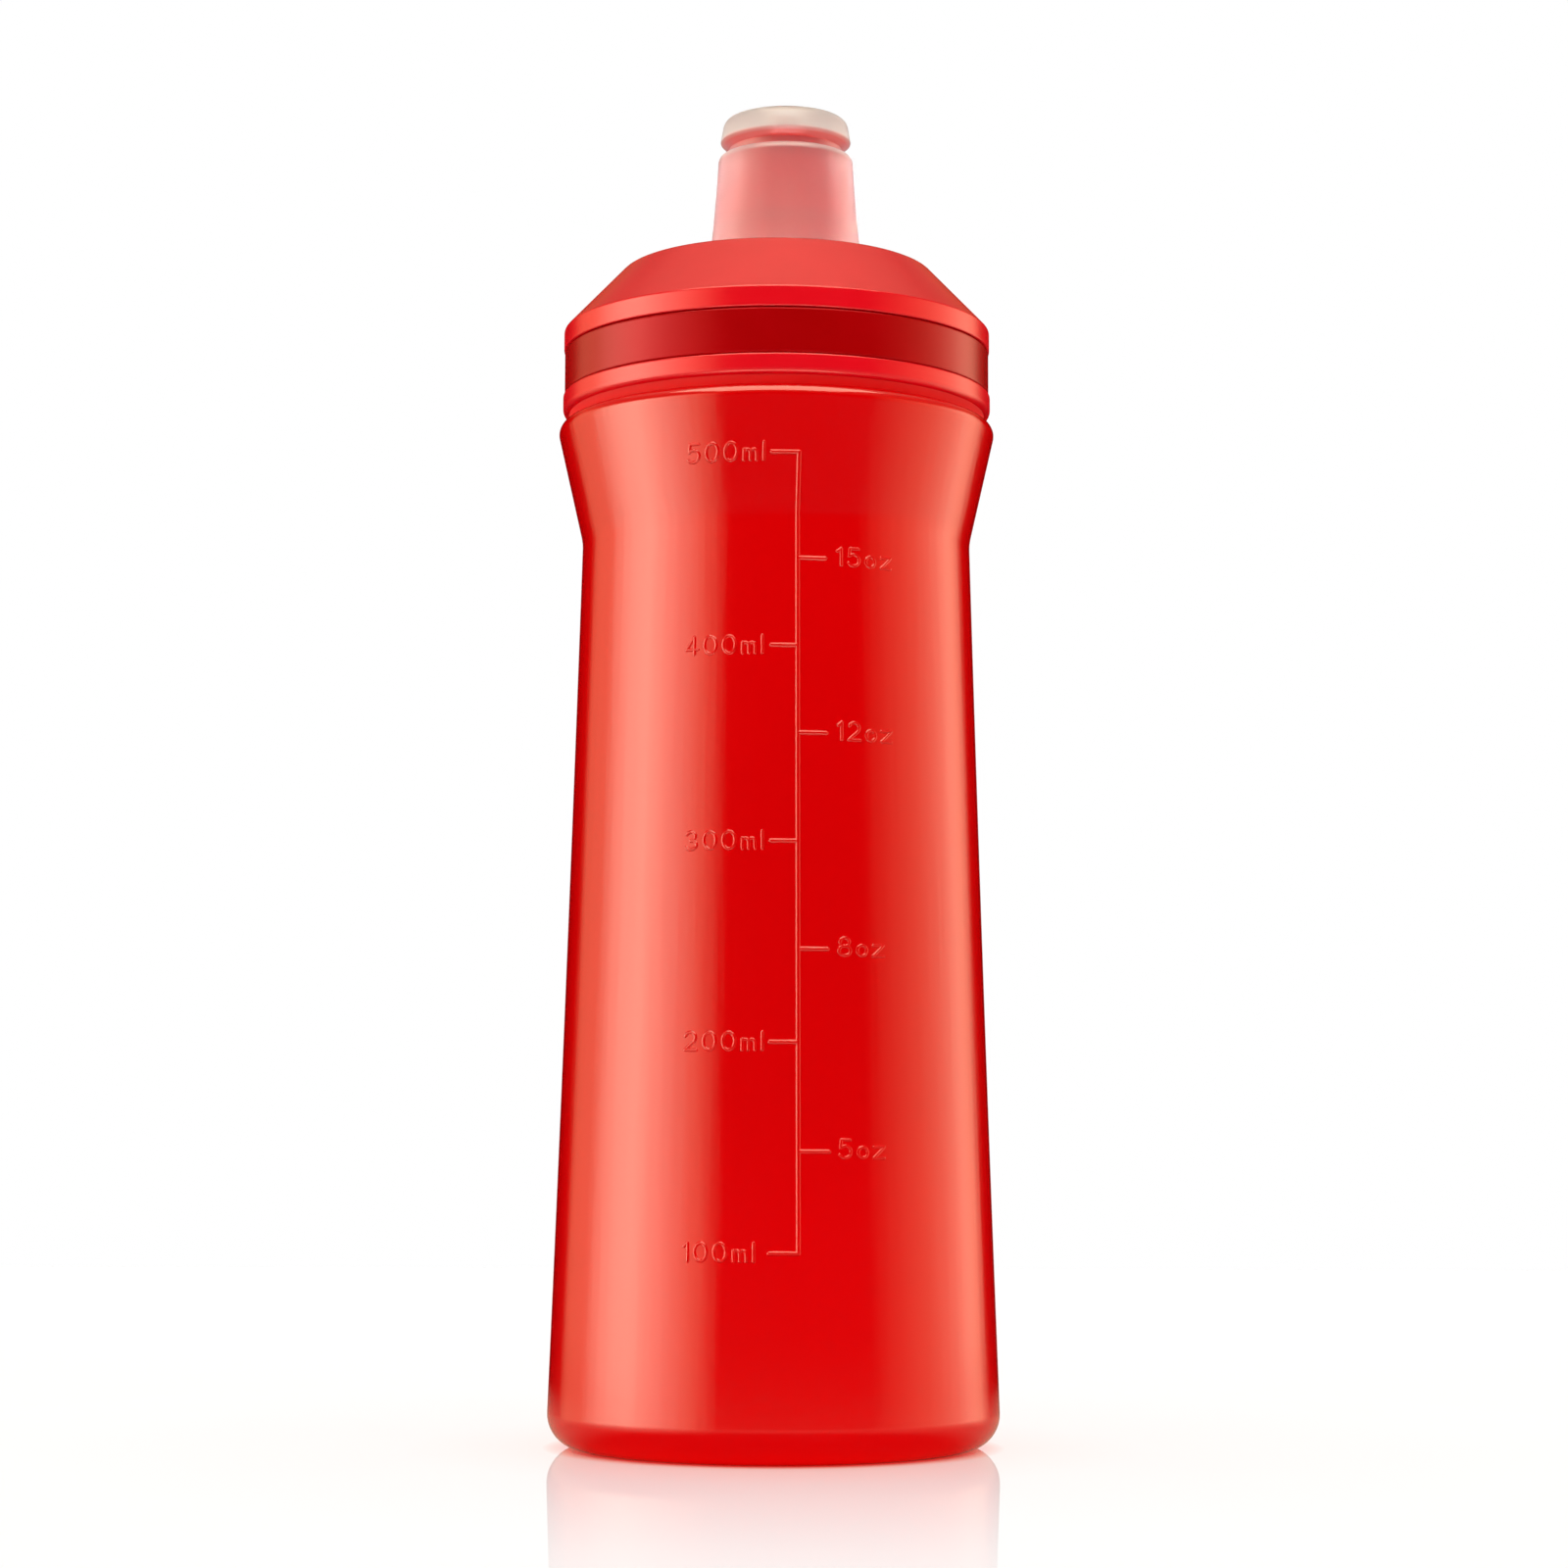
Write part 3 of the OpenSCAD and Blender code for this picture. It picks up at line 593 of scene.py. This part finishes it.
scale_turn = math.radians(6 - 90)       # the scale's line, from +X
ml_marks = ((waist_h + 9.1, "500ml"), (waist_h - 21.3, "400ml"), (waist_h - 52.1, "300ml"),
            (waist_h - 83.3, "200ml"), (waist_h - 115.6, "100ml"))
oz_marks = ((waist_h - 7.4, "15oz"), (waist_h - 35.1, "12oz"), (waist_h - 68.9, "8oz"),
            (waist_h - 100.1, "5oz"))
ml_mark_turn, oz_mark_turn = math.radians(7.2), math.radians(7.8)
line_radius, line_sink = 0.42, 0.12     # the ridge is round, and its centre lies this far inside the wall
figure_radius, figure_sink = 0.31, 0.1
figure_h, small_h, figure_w = 2.75, 1.65, 1.95
figure_gap = 0.52
ml_label, oz_label = -18.25, 6.15       # where labels begin, along the wall from the line
ml_rise, oz_rise = 0.15, 0.43           # how far the labels' middle lies above their marks


def wall_at(height):
    """Radius of the bottle's side at a height."""
    if height < waist_h:
        t = height / waist_h
        return base_r + (waist_r - base_r) * t - 4 * flare_bow * t * (1 - t)
    return waist_r + (shoulder_r - waist_r) * (height - waist_h) / grip_h


def oval(cx, cy, rx, ry, start=0, end=360, step=15):
    """Points of an arc of an ellipse, in degrees from its right side."""
    count = max(2, math.ceil(abs(end - start) / step))
    turns = [math.radians(start + (end - start) * k / count) for k in range(count + 1)]
    return [(cx + rx * math.cos(t), cy + ry * math.sin(t)) for t in turns]


w, h, x = figure_w, figure_h, small_h
arch = [(0, x * 0.62), *oval(0.5, x * 0.62, 0.5, x * 0.38, 180, 0), (1, 0)]
# Strokes of the figures, each from its lower left corner, with the figure's width
FIGURES = {
    "0": (w, [oval(w / 2, h / 2, w / 2, h / 2)]),
    "1": (0.6, [[(0, h - 0.5), (0.6, h)], [(0.6, h), (0.6, 0)]]),
    "2": (w, [[*oval(0.95, h - 0.85, 0.85, 0.85, 160, -38), (0, 0)], [(0, 0), (w, 0)]]),
    "3": (w, [oval(0.9, h - 0.7, 0.75, 0.7, 155, -90), oval(0.9, 0.7, 0.95, 0.71, 90, -150)]),
    "4": (w, [[(1.4, h), (0, 0.75)], [(0, 0.75), (w, 0.75)], [(1.4, h), (1.4, 0)]]),
    "5": (w, [[(1.75, h), (0.35, h)], [(0.35, h), (0.2, h * 0.56)],
              oval(0.92, 0.92, 0.98, 0.92, 137, -150)]),
    "8": (w, [oval(w / 2, h - 0.66, 0.75, 0.66), oval(w / 2, 0.74, w / 2, 0.74)]),
    "m": (2, [[(0, 0), (0, x)], arch, [(p + 1, q) for p, q in arch]]),
    "l": (0, [[(0, 0), (0, h)]]),
    "o": (1.6, [oval(0.8, x / 2, 0.8, x / 2)]),
    "z": (1.75, [[(0, x), (1.75, x)], [(1.75, x), (0, 0)], [(0, 0), (1.75, 0)]]),
}


def on_wall(along, height, sink):
    """A point of the wall, by its distance along the wall from the scale's line and its height."""
    radius = wall_at(height)
    turn_by = scale_turn + along / radius
    deep = radius - sink
    return deep * math.cos(turn_by) * MM, deep * math.sin(turn_by) * MM, height * MM


def strokes_mesh(name, strokes, sink):
    """A base mesh of strokes, each a list of (distance along the wall, height) points."""
    points, edges = [], []
    for stroke in strokes:
        looped = len(stroke) > 2 and math.dist(stroke[0], stroke[-1]) < WELD
        kept = stroke[:-1] if looped else stroke
        first = len(points)
        points += [on_wall(*p, sink) for p in kept]
        edges += [(first + k, first + k + 1) for k in range(len(kept) - 1)]
        if looped:
            edges.append((len(points) - 1, first))
    made = bpy.data.meshes.new(name)
    made.from_pydata(points, edges, [])
    return made


def straight(a, b, steps):
    return [(a[0] + (b[0] - a[0]) * k / steps, a[1] + (b[1] - a[1]) * k / steps) for k in range(steps + 1)]


def label(text, along, base):
    """Strokes of a label that begins at a distance along the wall."""
    made = []
    for figure in text:
        width, strokes = FIGURES[figure]
        for stroke in strokes:
            made.append([(along + p, base + q) for p, q in stroke])
        along += width + 2 * figure_radius + figure_gap
    return made


low, high = ml_marks[-1][0], ml_marks[0][0]
below_steps, above_steps, mark_steps = 24, 6, 6
lines = [[*straight((0, low), (0, waist_h), below_steps),
          *straight((0, waist_h), (0, high), above_steps)[1:]]]
labels = []
for height, text in ml_marks:
    lines.append(straight((0, height), (-ml_mark_turn * wall_at(height), height), mark_steps))
    labels += label(text, ml_label + figure_radius, height + ml_rise - figure_h / 2)
for height, text in oz_marks:
    lines.append(straight((0, height), (oz_mark_turn * wall_at(height), height), mark_steps))
    labels += label(text, oz_label + figure_radius, height + oz_rise - figure_h / 2)
grow("scale_lines", ridges, strokes_mesh("scale_lines", lines, line_sink), satin_red, "bottle_body",
     "bottle_plastic", Ridge_Radius=line_radius * MM, Sides=20)
grow("scale_figures", ridges, strokes_mesh("scale_figures", labels, figure_sink), satin_red,
     "bottle_body", "bottle_plastic", Ridge_Radius=figure_radius * MM, Sides=16)


# ---------------------------------------------------------------- cap

hole_r = stem_r + seat_gap
cap_path = rounded([
    (skirt_r + mouth_w, cap_z), (ring_r, cap_z, ring_edge_r), (ring_r, ring_top, groove_edge_r),
    (band_seat_r, ring_top), (band_seat_r, rim_z), (rim_r, rim_z, groove_edge_r),
    (rim_r, rim_top, rim_edge_r), (top_r, cap_top, top_edge_r), (land_r, land_z, land_edge_r),
    (hole_r, land_z), (hole_r, plate_z), (plate_r, plate_z, plate_edge_r),
    (seat_inner_r, rim_top + (rim_r - seat_inner_r) * cone_slope - cone_drop),
    (seat_inner_r, seat_z), (skirt_r, seat_z), (skirt_r, cap_z + mouth_h)])
turn("screw_cap", ring(cap_path), matt_red, "cap_body", "cap_plastic", ["cap_shell"],
     Bore_X=spout_x * MM, Land_Radius=land_r * MM, Bore_Radius=hole_r * MM)
grow("cap_thread", threads, outline("cap_thread", ring(section)[::-1]), matt_red, "cap_body",
     "cap_plastic", Wall_Radius=(skirt_r + thread_root) * MM, Outward=-1.0,
     Height=(neck_thread_z - thread_lead / thread_starts / 2) * MM, **helix)

band_path = rounded([
    (band_r - band_t, band_low.z), (band_r, band_low.z, band_edge_r),
    (band_r, band_high.z, band_edge_r), (band_r - band_t, band_high.z)])
turn("grip_sleeve", ring(band_path), dark_red, "cap_body", "band_rubber", ["grip_band"])

gasket_r = gasket_high.x
gasket_middle = ((seat_inner_r + gasket_r) / 2, gasket_low.z)
gasket_path = rounded([
    gasket_middle, (gasket_r, gasket_low.z, gasket_edge_r), (gasket_r, gasket_high.z, gasket_edge_r),
    (seat_inner_r, gasket_high.z, gasket_edge_r), (seat_inner_r, gasket_low.z, gasket_edge_r), gasket_middle])
turn("gasket_washer", gasket_path, silicone, "gasket_body", "gasket_rubber", ["cap_gasket"])


# ---------------------------------------------------------------- stem and nozzle

stem_inner_r, flange_top = stem_r - stem_wall_t, plate_z - seat_gap
stem_path = rounded([
    (stem_inner_r, flange_top - flange_t), (stem_r + flange_w, flange_top - flange_t, flange_edge_r),
    (stem_r + flange_w, flange_top), (stem_r, flange_top), (stem_r, bead_z), (bead_r, bead_z),
    (bead_r, bead_z + bead_edge_h), (stem_r, bead_z + bead_h), (stem_r, stem_top, stem_edge_r),
    (stem_inner_r, stem_top)])
turn("spout_tube", ring(stem_path), stem_red, "cap_body", "stem_plastic", ["spout_stem"], axis_x=spout_x)
plug_path = rounded([
    (0, stem_top - spoke_h), (plug_r, stem_top - spoke_h), (plug_r, plug_top, plug_edge_r), (0, plug_top)])
turn("outlet_plug", plug_path, stem_red, "cap_body", "stem_plastic", axis_x=spout_x)

spoke = bpy.data.meshes.new("plug_spokes")
near, far, half, low = plug_r - spoke_root, stem_inner_r + spoke_root, spoke_w / 2, stem_top - spoke_h
plan = ((near, -half), (far, -half), (far, half), (near, half))
corners = [(r, y, z) for z in (low, stem_top) for r, y in plan]
spoke.from_pydata([(r * MM, y * MM, z * MM) for r, y, z in corners], [],
                  [(3, 2, 1, 0), (4, 5, 6, 7), (0, 1, 5, 4), (1, 2, 6, 5), (2, 3, 7, 6), (3, 0, 4, 7)])
grow("plug_spokes", spokes, spoke, stem_red, "cap_body", "stem_plastic",
     Count=spoke_count, Axis_X=spout_x * MM)

side_foot, side_edge = (side_foot_r, nozzle_z), (side_top_r, side_top)
bore_step_z = nozzle_z + lower_bore_h
nozzle_path = rounded([
    (rib_r, nozzle_z), side_foot, *bowed(side_foot, side_edge, nozzle_bow, 10),
    (side_top_r, side_top, nozzle_edge_r), (groove_root_r, side_top + groove_foot_h),
    (groove_root_r, root_top), (side_top_r - lip_inset, lip_z, head_lip_r),
    (side_top_r - head_inset, head_top, head_edge_r), (outlet_r, head_top + head_dome, outlet_edge_r),
    (outlet_r, ceiling_z), (upper_bore_r, ceiling_z), (upper_bore_r, bore_step_z + taper_above, taper_r),
    (lower_bore_r, bore_step_z - taper_below, taper_r), (lower_bore_r, rib_z + rib_h),
    (rib_r, rib_z + rib_h)])
turn("push_pull_nozzle", ring(nozzle_path), milky, "nozzle_body", "nozzle_plastic", ["nozzle"],
     axis_x=spout_x)


# ---------------------------------------------------------------- studio

def staged(name, points, faces, material, **seen_by):
    """A card, panel or floor of the studio, with the kinds of ray that see it."""
    mesh = bpy.data.meshes.new(name)
    mesh.from_pydata(points, [], faces)
    mesh.materials.append(material)
    made = bpy.data.objects.new(name, mesh)
    bpy.context.collection.objects.link(made)
    for kind in ("camera", "diffuse", "glossy", "transmission", "volume_scatter", "shadow"):
        setattr(made, "visible_" + kind, seen_by.get(kind, False))
    return made


def level_sheet(side, front, back, height):
    """Corners of a level rectangle, and its face."""
    corners = [(-side, front, height), (side, front, height), (side, back, height), (-side, back, height)]
    return corners, [(0, 1, 2, 3)]


def glow_for_gloss(tree, colour, strength):
    """Ends a card's tree: it glows for soft gloss, and the table's sharp mirror sees it plain white."""
    ray = add(tree, "ShaderNodeLightPath")
    lit = add(tree, "ShaderNodeEmission", {"Color": colour, "Strength": strength})
    plain = add(tree, "ShaderNodeEmission", {"Color": WHITE, "Strength": 1.0})
    seen = add(tree, "ShaderNodeMixShader", {0: ray.outputs["Is Singular Ray"], 1: lit, 2: plain})
    add(tree, "ShaderNodeOutputMaterial", {"Surface": seen})


# The tent's two soft panels: radiance at bearings from the camera's side, in degrees, + to the right
KEY_PANEL = ((-138, 0), (-131, 0.6), (-112, 1.2), (-90, 5.5), (-78, 7), (-60, 4.5), (-42, 1.9), (-28, 0))
SIDE_PANEL = ((50, 0), (85, 1.2), (117, 2.6), (125, 2.1), (140, 0))
TENT_PEAK = 7.0
tent_radius, tent_low, tent_high, tent_sides = 1.8, -1.2, 1.3, 96
fade_low, fade_high = 0.75, 1.15        # the tent fades into the ceiling between these heights
WARM = (1.18, 1.0, 0.73, 1)             # the bright panels
AMBER = (1.9, 1.0, 0.5, 1)              # their dim edges
CEILING_LIGHT, CEILING_EDGE, OVERHEAD_LIGHT = 1.1, 0.22, 6.0
ceiling_bright, ceiling_dim = 0.2, 1.2  # the ceiling dims between these distances from the axis
overhead_side, overhead_front, overhead_back, overhead_h = 0.6, -1.0, -0.07, 1


def tinted(level):
    """The colour of a part of the tent: amber where it is dim, warm white where it is bright."""
    share = min(1, level * 2)
    return (*(level * (a + (w - a) * share) for a, w in zip(AMBER[:3], WARM[:3])), 1)


tent_material, tree = blank_material("light tent")
place = add(tree, "ShaderNodeTexCoord").outputs["Object"]
parts = add(tree, "ShaderNodeSeparateXYZ", {0: place})
forward = add(tree, "ShaderNodeMath", {0: parts.outputs["Y"], 1: -1.0}, operation="MULTIPLY")
bearing = add(tree, "ShaderNodeMath", {0: parts.outputs["X"], 1: forward}, operation="ARCTAN2")
share = add(tree, "ShaderNodeMath", {0: bearing, 1: 1 / math.tau, 2: 0.5}, operation="MULTIPLY_ADD")
glow = add(tree, "ShaderNodeValToRGB", {"Fac": share},
           stops=[((a + 180) / 360, tinted(e / TENT_PEAK)) for a, e in KEY_PANEL + SIDE_PANEL])
upper = between(tree, parts.outputs["Z"], fade_low, fade_high)
upper.interpolation_type = "SMOOTHSTEP"
above = add(tree, "ShaderNodeMix", {0: upper, 6: glow, 7: tinted(CEILING_EDGE / TENT_PEAK)}, data_type="RGBA")
glow_for_gloss(tree, above.outputs[2], TENT_PEAK)
turns = [math.tau * k / tent_sides for k in range(tent_sides)]
rims = [[(tent_radius * math.cos(t), tent_radius * math.sin(t), z) for t in turns]
        for z in (tent_low, tent_high)]
nexts = [(k, (k + 1) % tent_sides) for k in range(tent_sides)]
faces = [(k, after, tent_sides + after, tent_sides + k) for k, after in nexts]
staged("light_tent", rims[0] + rims[1], faces, tent_material, glossy=True)

top_material, tree = blank_material("overhead light")
glow_for_gloss(tree, WARM, OVERHEAD_LIGHT)
staged("overhead_light", *level_sheet(overhead_side, overhead_front, overhead_back, overhead_h), top_material,
       glossy=True)

ceiling_material, tree = blank_material("white ceiling")
place = add(tree, "ShaderNodeTexCoord").outputs["Object"]
away = distance(tree, place)
glow_for_gloss(tree, WARM, between(tree, away, ceiling_bright, ceiling_dim, CEILING_LIGHT, CEILING_EDGE))
staged("ceiling", rims[1], [tuple(range(tent_sides))], ceiling_material, glossy=True)

# The camera's view of the table, by distance from the axis: the share of its mirror image, and its colour:
# painted red bounce light and painted shade close round the foot, fading to white
MIRROR_REACH = 0.16
MIRROR = ((0.033, 0.55), (0.036, 0.42), (0.05, 0.38), (0.15, 0.12))
PAINTED_BOUNCE_AND_SHADE = ((0.033, (0.8, 0.05, 0.03, 1)), (0.0352, (1, 0.5, 0.38, 1)), (0.0375, (1, 0.9, 0.83, 1)),
         (0.06, (1, 0.96, 0.92, 1)), (0.12, (1, 0.985, 0.96, 1)))
TABLE_GREY, TABLE_GLOW = 0.35, 0.77
# Gloss's view of the table: a painted glow by distance from a painted shadow of the bottle at SHADE_Y, with a
# little painted red bounce by the foot, kept to a painted pool of light round POOL_Y, and a soft mirror that
# begins a little way from the foot
SHADE_Y, POOL_Y = -0.03, -0.2
GLOW_REACH = 0.7
GLOW = ((0.01, (0.03, 0.003, 0.001, 1)), (0.032, (0.06, 0.03, 0.02, 1)), (0.045, (0.42, 0.34, 0.24, 1)),
        (0.1, (0.52, 0.43, 0.3, 1)), (0.3, (0.52, 0.43, 0.3, 1)), (0.7, (0.1, 0.08, 0.05, 1)))
pool_full, pool_end = 0.22, 0.36
polish_start, polish_full, POLISH, POLISH_ROUGHNESS = 0.05, 0.12, 0.8, 0.05
sheet_full, sheet_end = 0.25, 0.7       # from here gloss passes through the table more and more, to the tent
# Every other ray's view: grey, with a red glow close round the foot that lights the foot's corner
BODY_GREY, FOOT_GLOW, FOOT_RED = 0.6, 0.5, (1, 0.3, 0.2, 1)
foot_glow_full, foot_glow_end = 0.036, 0.04

table_side, table_front, table_back = 0.5, -1.6, 0.7

table_material, tree = blank_material("white acrylic table")
place = add(tree, "ShaderNodeTexCoord").outputs["Object"]
ray = add(tree, "ShaderNodeLightPath")
away = distance(tree, place)

reach = add(tree, "ShaderNodeMath", {0: away, 1: MIRROR_REACH}, operation="DIVIDE")
fade = add(tree, "ShaderNodeValToRGB", {"Fac": reach},
           stops=[(r / MIRROR_REACH, share) for r, share in MIRROR])
painted_bounce_and_shade = add(tree, "ShaderNodeValToRGB", {"Fac": reach},
            stops=[(r / MIRROR_REACH, red) for r, red in PAINTED_BOUNCE_AND_SHADE])
matt = add(tree, "ShaderNodeBsdfDiffuse", {"Color": (TABLE_GREY, TABLE_GREY, TABLE_GREY, 1)})
# the table's white glow carries the painted red bounce and painted shade round the foot
white = add(tree, "ShaderNodeEmission", {"Color": painted_bounce_and_shade, "Strength": TABLE_GLOW})
lit_matt = add(tree, "ShaderNodeAddShader", {0: matt, 1: white})
mirror = add(tree, "ShaderNodeBsdfAnisotropic", {"Color": WHITE, "Roughness": 0.0})
camera_view = add(tree, "ShaderNodeMixShader", {0: fade, 1: lit_matt, 2: mirror})

spread = add(tree, "ShaderNodeMath", {0: distance(tree, place, y=SHADE_Y), 1: GLOW_REACH}, operation="DIVIDE")
painted_glow_colour = add(tree, "ShaderNodeValToRGB", {"Fac": spread}, stops=[(r / GLOW_REACH, painted_pool_light) for r, painted_pool_light in GLOW])
pool = between(tree, distance(tree, place, y=POOL_Y), pool_full, pool_end, 1.0, 0.0)
painted_pool_light = add(tree, "ShaderNodeEmission", {"Color": painted_glow_colour, "Strength": pool})
clarity = between(tree, away, polish_start, polish_full, 0.0, POLISH)
polish = add(tree, "ShaderNodeBsdfAnisotropic", {"Color": clarity, "Roughness": POLISH_ROUGHNESS})
sheet = add(tree, "ShaderNodeAddShader", {0: painted_pool_light, 1: polish})
past = add(tree, "ShaderNodeBsdfTransparent", {"Color": WHITE})
edge = between(tree, away, sheet_full, sheet_end)
gloss_view = add(tree, "ShaderNodeMixShader", {0: edge, 1: sheet, 2: past})

body = add(tree, "ShaderNodeBsdfDiffuse", {"Color": (BODY_GREY, BODY_GREY, BODY_GREY, 1)})
foot_glow = between(tree, away, foot_glow_full, foot_glow_end, FOOT_GLOW, 0.0)
glowing = add(tree, "ShaderNodeEmission", {"Color": FOOT_RED, "Strength": foot_glow})
lit_body = add(tree, "ShaderNodeAddShader", {0: body, 1: glowing})
other = add(tree, "ShaderNodeMixShader", {0: ray.outputs["Is Glossy Ray"], 1: lit_body, 2: gloss_view})
seen = add(tree, "ShaderNodeMixShader", {0: ray.outputs["Is Camera Ray"], 1: other, 2: camera_view})
add(tree, "ShaderNodeOutputMaterial", {"Surface": seen})
staged("table", *level_sheet(table_side, table_front, table_back, 0), table_material,
       camera=True, diffuse=True, glossy=True, transmission=True, shadow=True)

# Beyond the table a white floor goes on, for the camera and for diffuse rays
floor_reach, floor_drop = 30.0, 0.001
floor_material, tree = blank_material("white floor")
white = add(tree, "ShaderNodeEmission", {"Color": WHITE, "Strength": 1.0})
add(tree, "ShaderNodeOutputMaterial", {"Surface": white})
staged("floor", *level_sheet(floor_reach, -floor_reach, floor_reach, -floor_drop), floor_material,
       camera=True, diffuse=True)

world = bpy.data.worlds.new("white studio")
bpy.context.scene.world = world
world.use_nodes = True
world.node_tree.nodes.clear()
white = add(world.node_tree, "ShaderNodeBackground", {"Color": WHITE, "Strength": 1.0})
add(world.node_tree, "ShaderNodeOutputWorld", {"Surface": white})
world.cycles_visibility.glossy = False    # gloss sees the tent, the overhead light, the ceiling and the table
world.cycles_visibility.diffuse = False   # and the ring of soft lamps and the floor light the colours

# Eight wide soft lamps all round, at a plain level
LAMPS, lamp_rise, lamp_strength, lamp_width = 8, math.radians(18), 0.94, math.radians(60)
for k in range(LAMPS):
    lamp = bpy.data.lights.new(f"soft_lamp_{k}", "SUN")
    lamp.energy, lamp.angle = lamp_strength, lamp_width
    lamp.cycles.use_multiple_importance_sampling = False
    holder = bpy.data.objects.new(lamp.name, lamp)
    bpy.context.collection.objects.link(holder)
    holder.visible_glossy = False
    holder.rotation_euler = (math.pi / 2 - lamp_rise, 0, math.tau * (k + 0.5) / LAMPS)

camera_y, camera_z = -0.563, 0.0518
camera = bpy.data.cameras.new("camera")
camera.lens, camera.sensor_width = 78.55, 36
viewer = bpy.data.objects.new("camera", camera)
bpy.context.collection.objects.link(viewer)
pitch, yaw, roll = math.radians(95.71), math.radians(-0.145), math.radians(0.16)
viewer.matrix_world = (Matrix.Translation((0, camera_y, camera_z)) @ Matrix.Rotation(yaw, 4, "Z")
                       @ Matrix.Rotation(pitch, 4, "X") @ Matrix.Rotation(roll, 4, "Z"))
bpy.context.scene.camera = viewer
bpy.context.scene.view_settings.view_transform = "Standard"
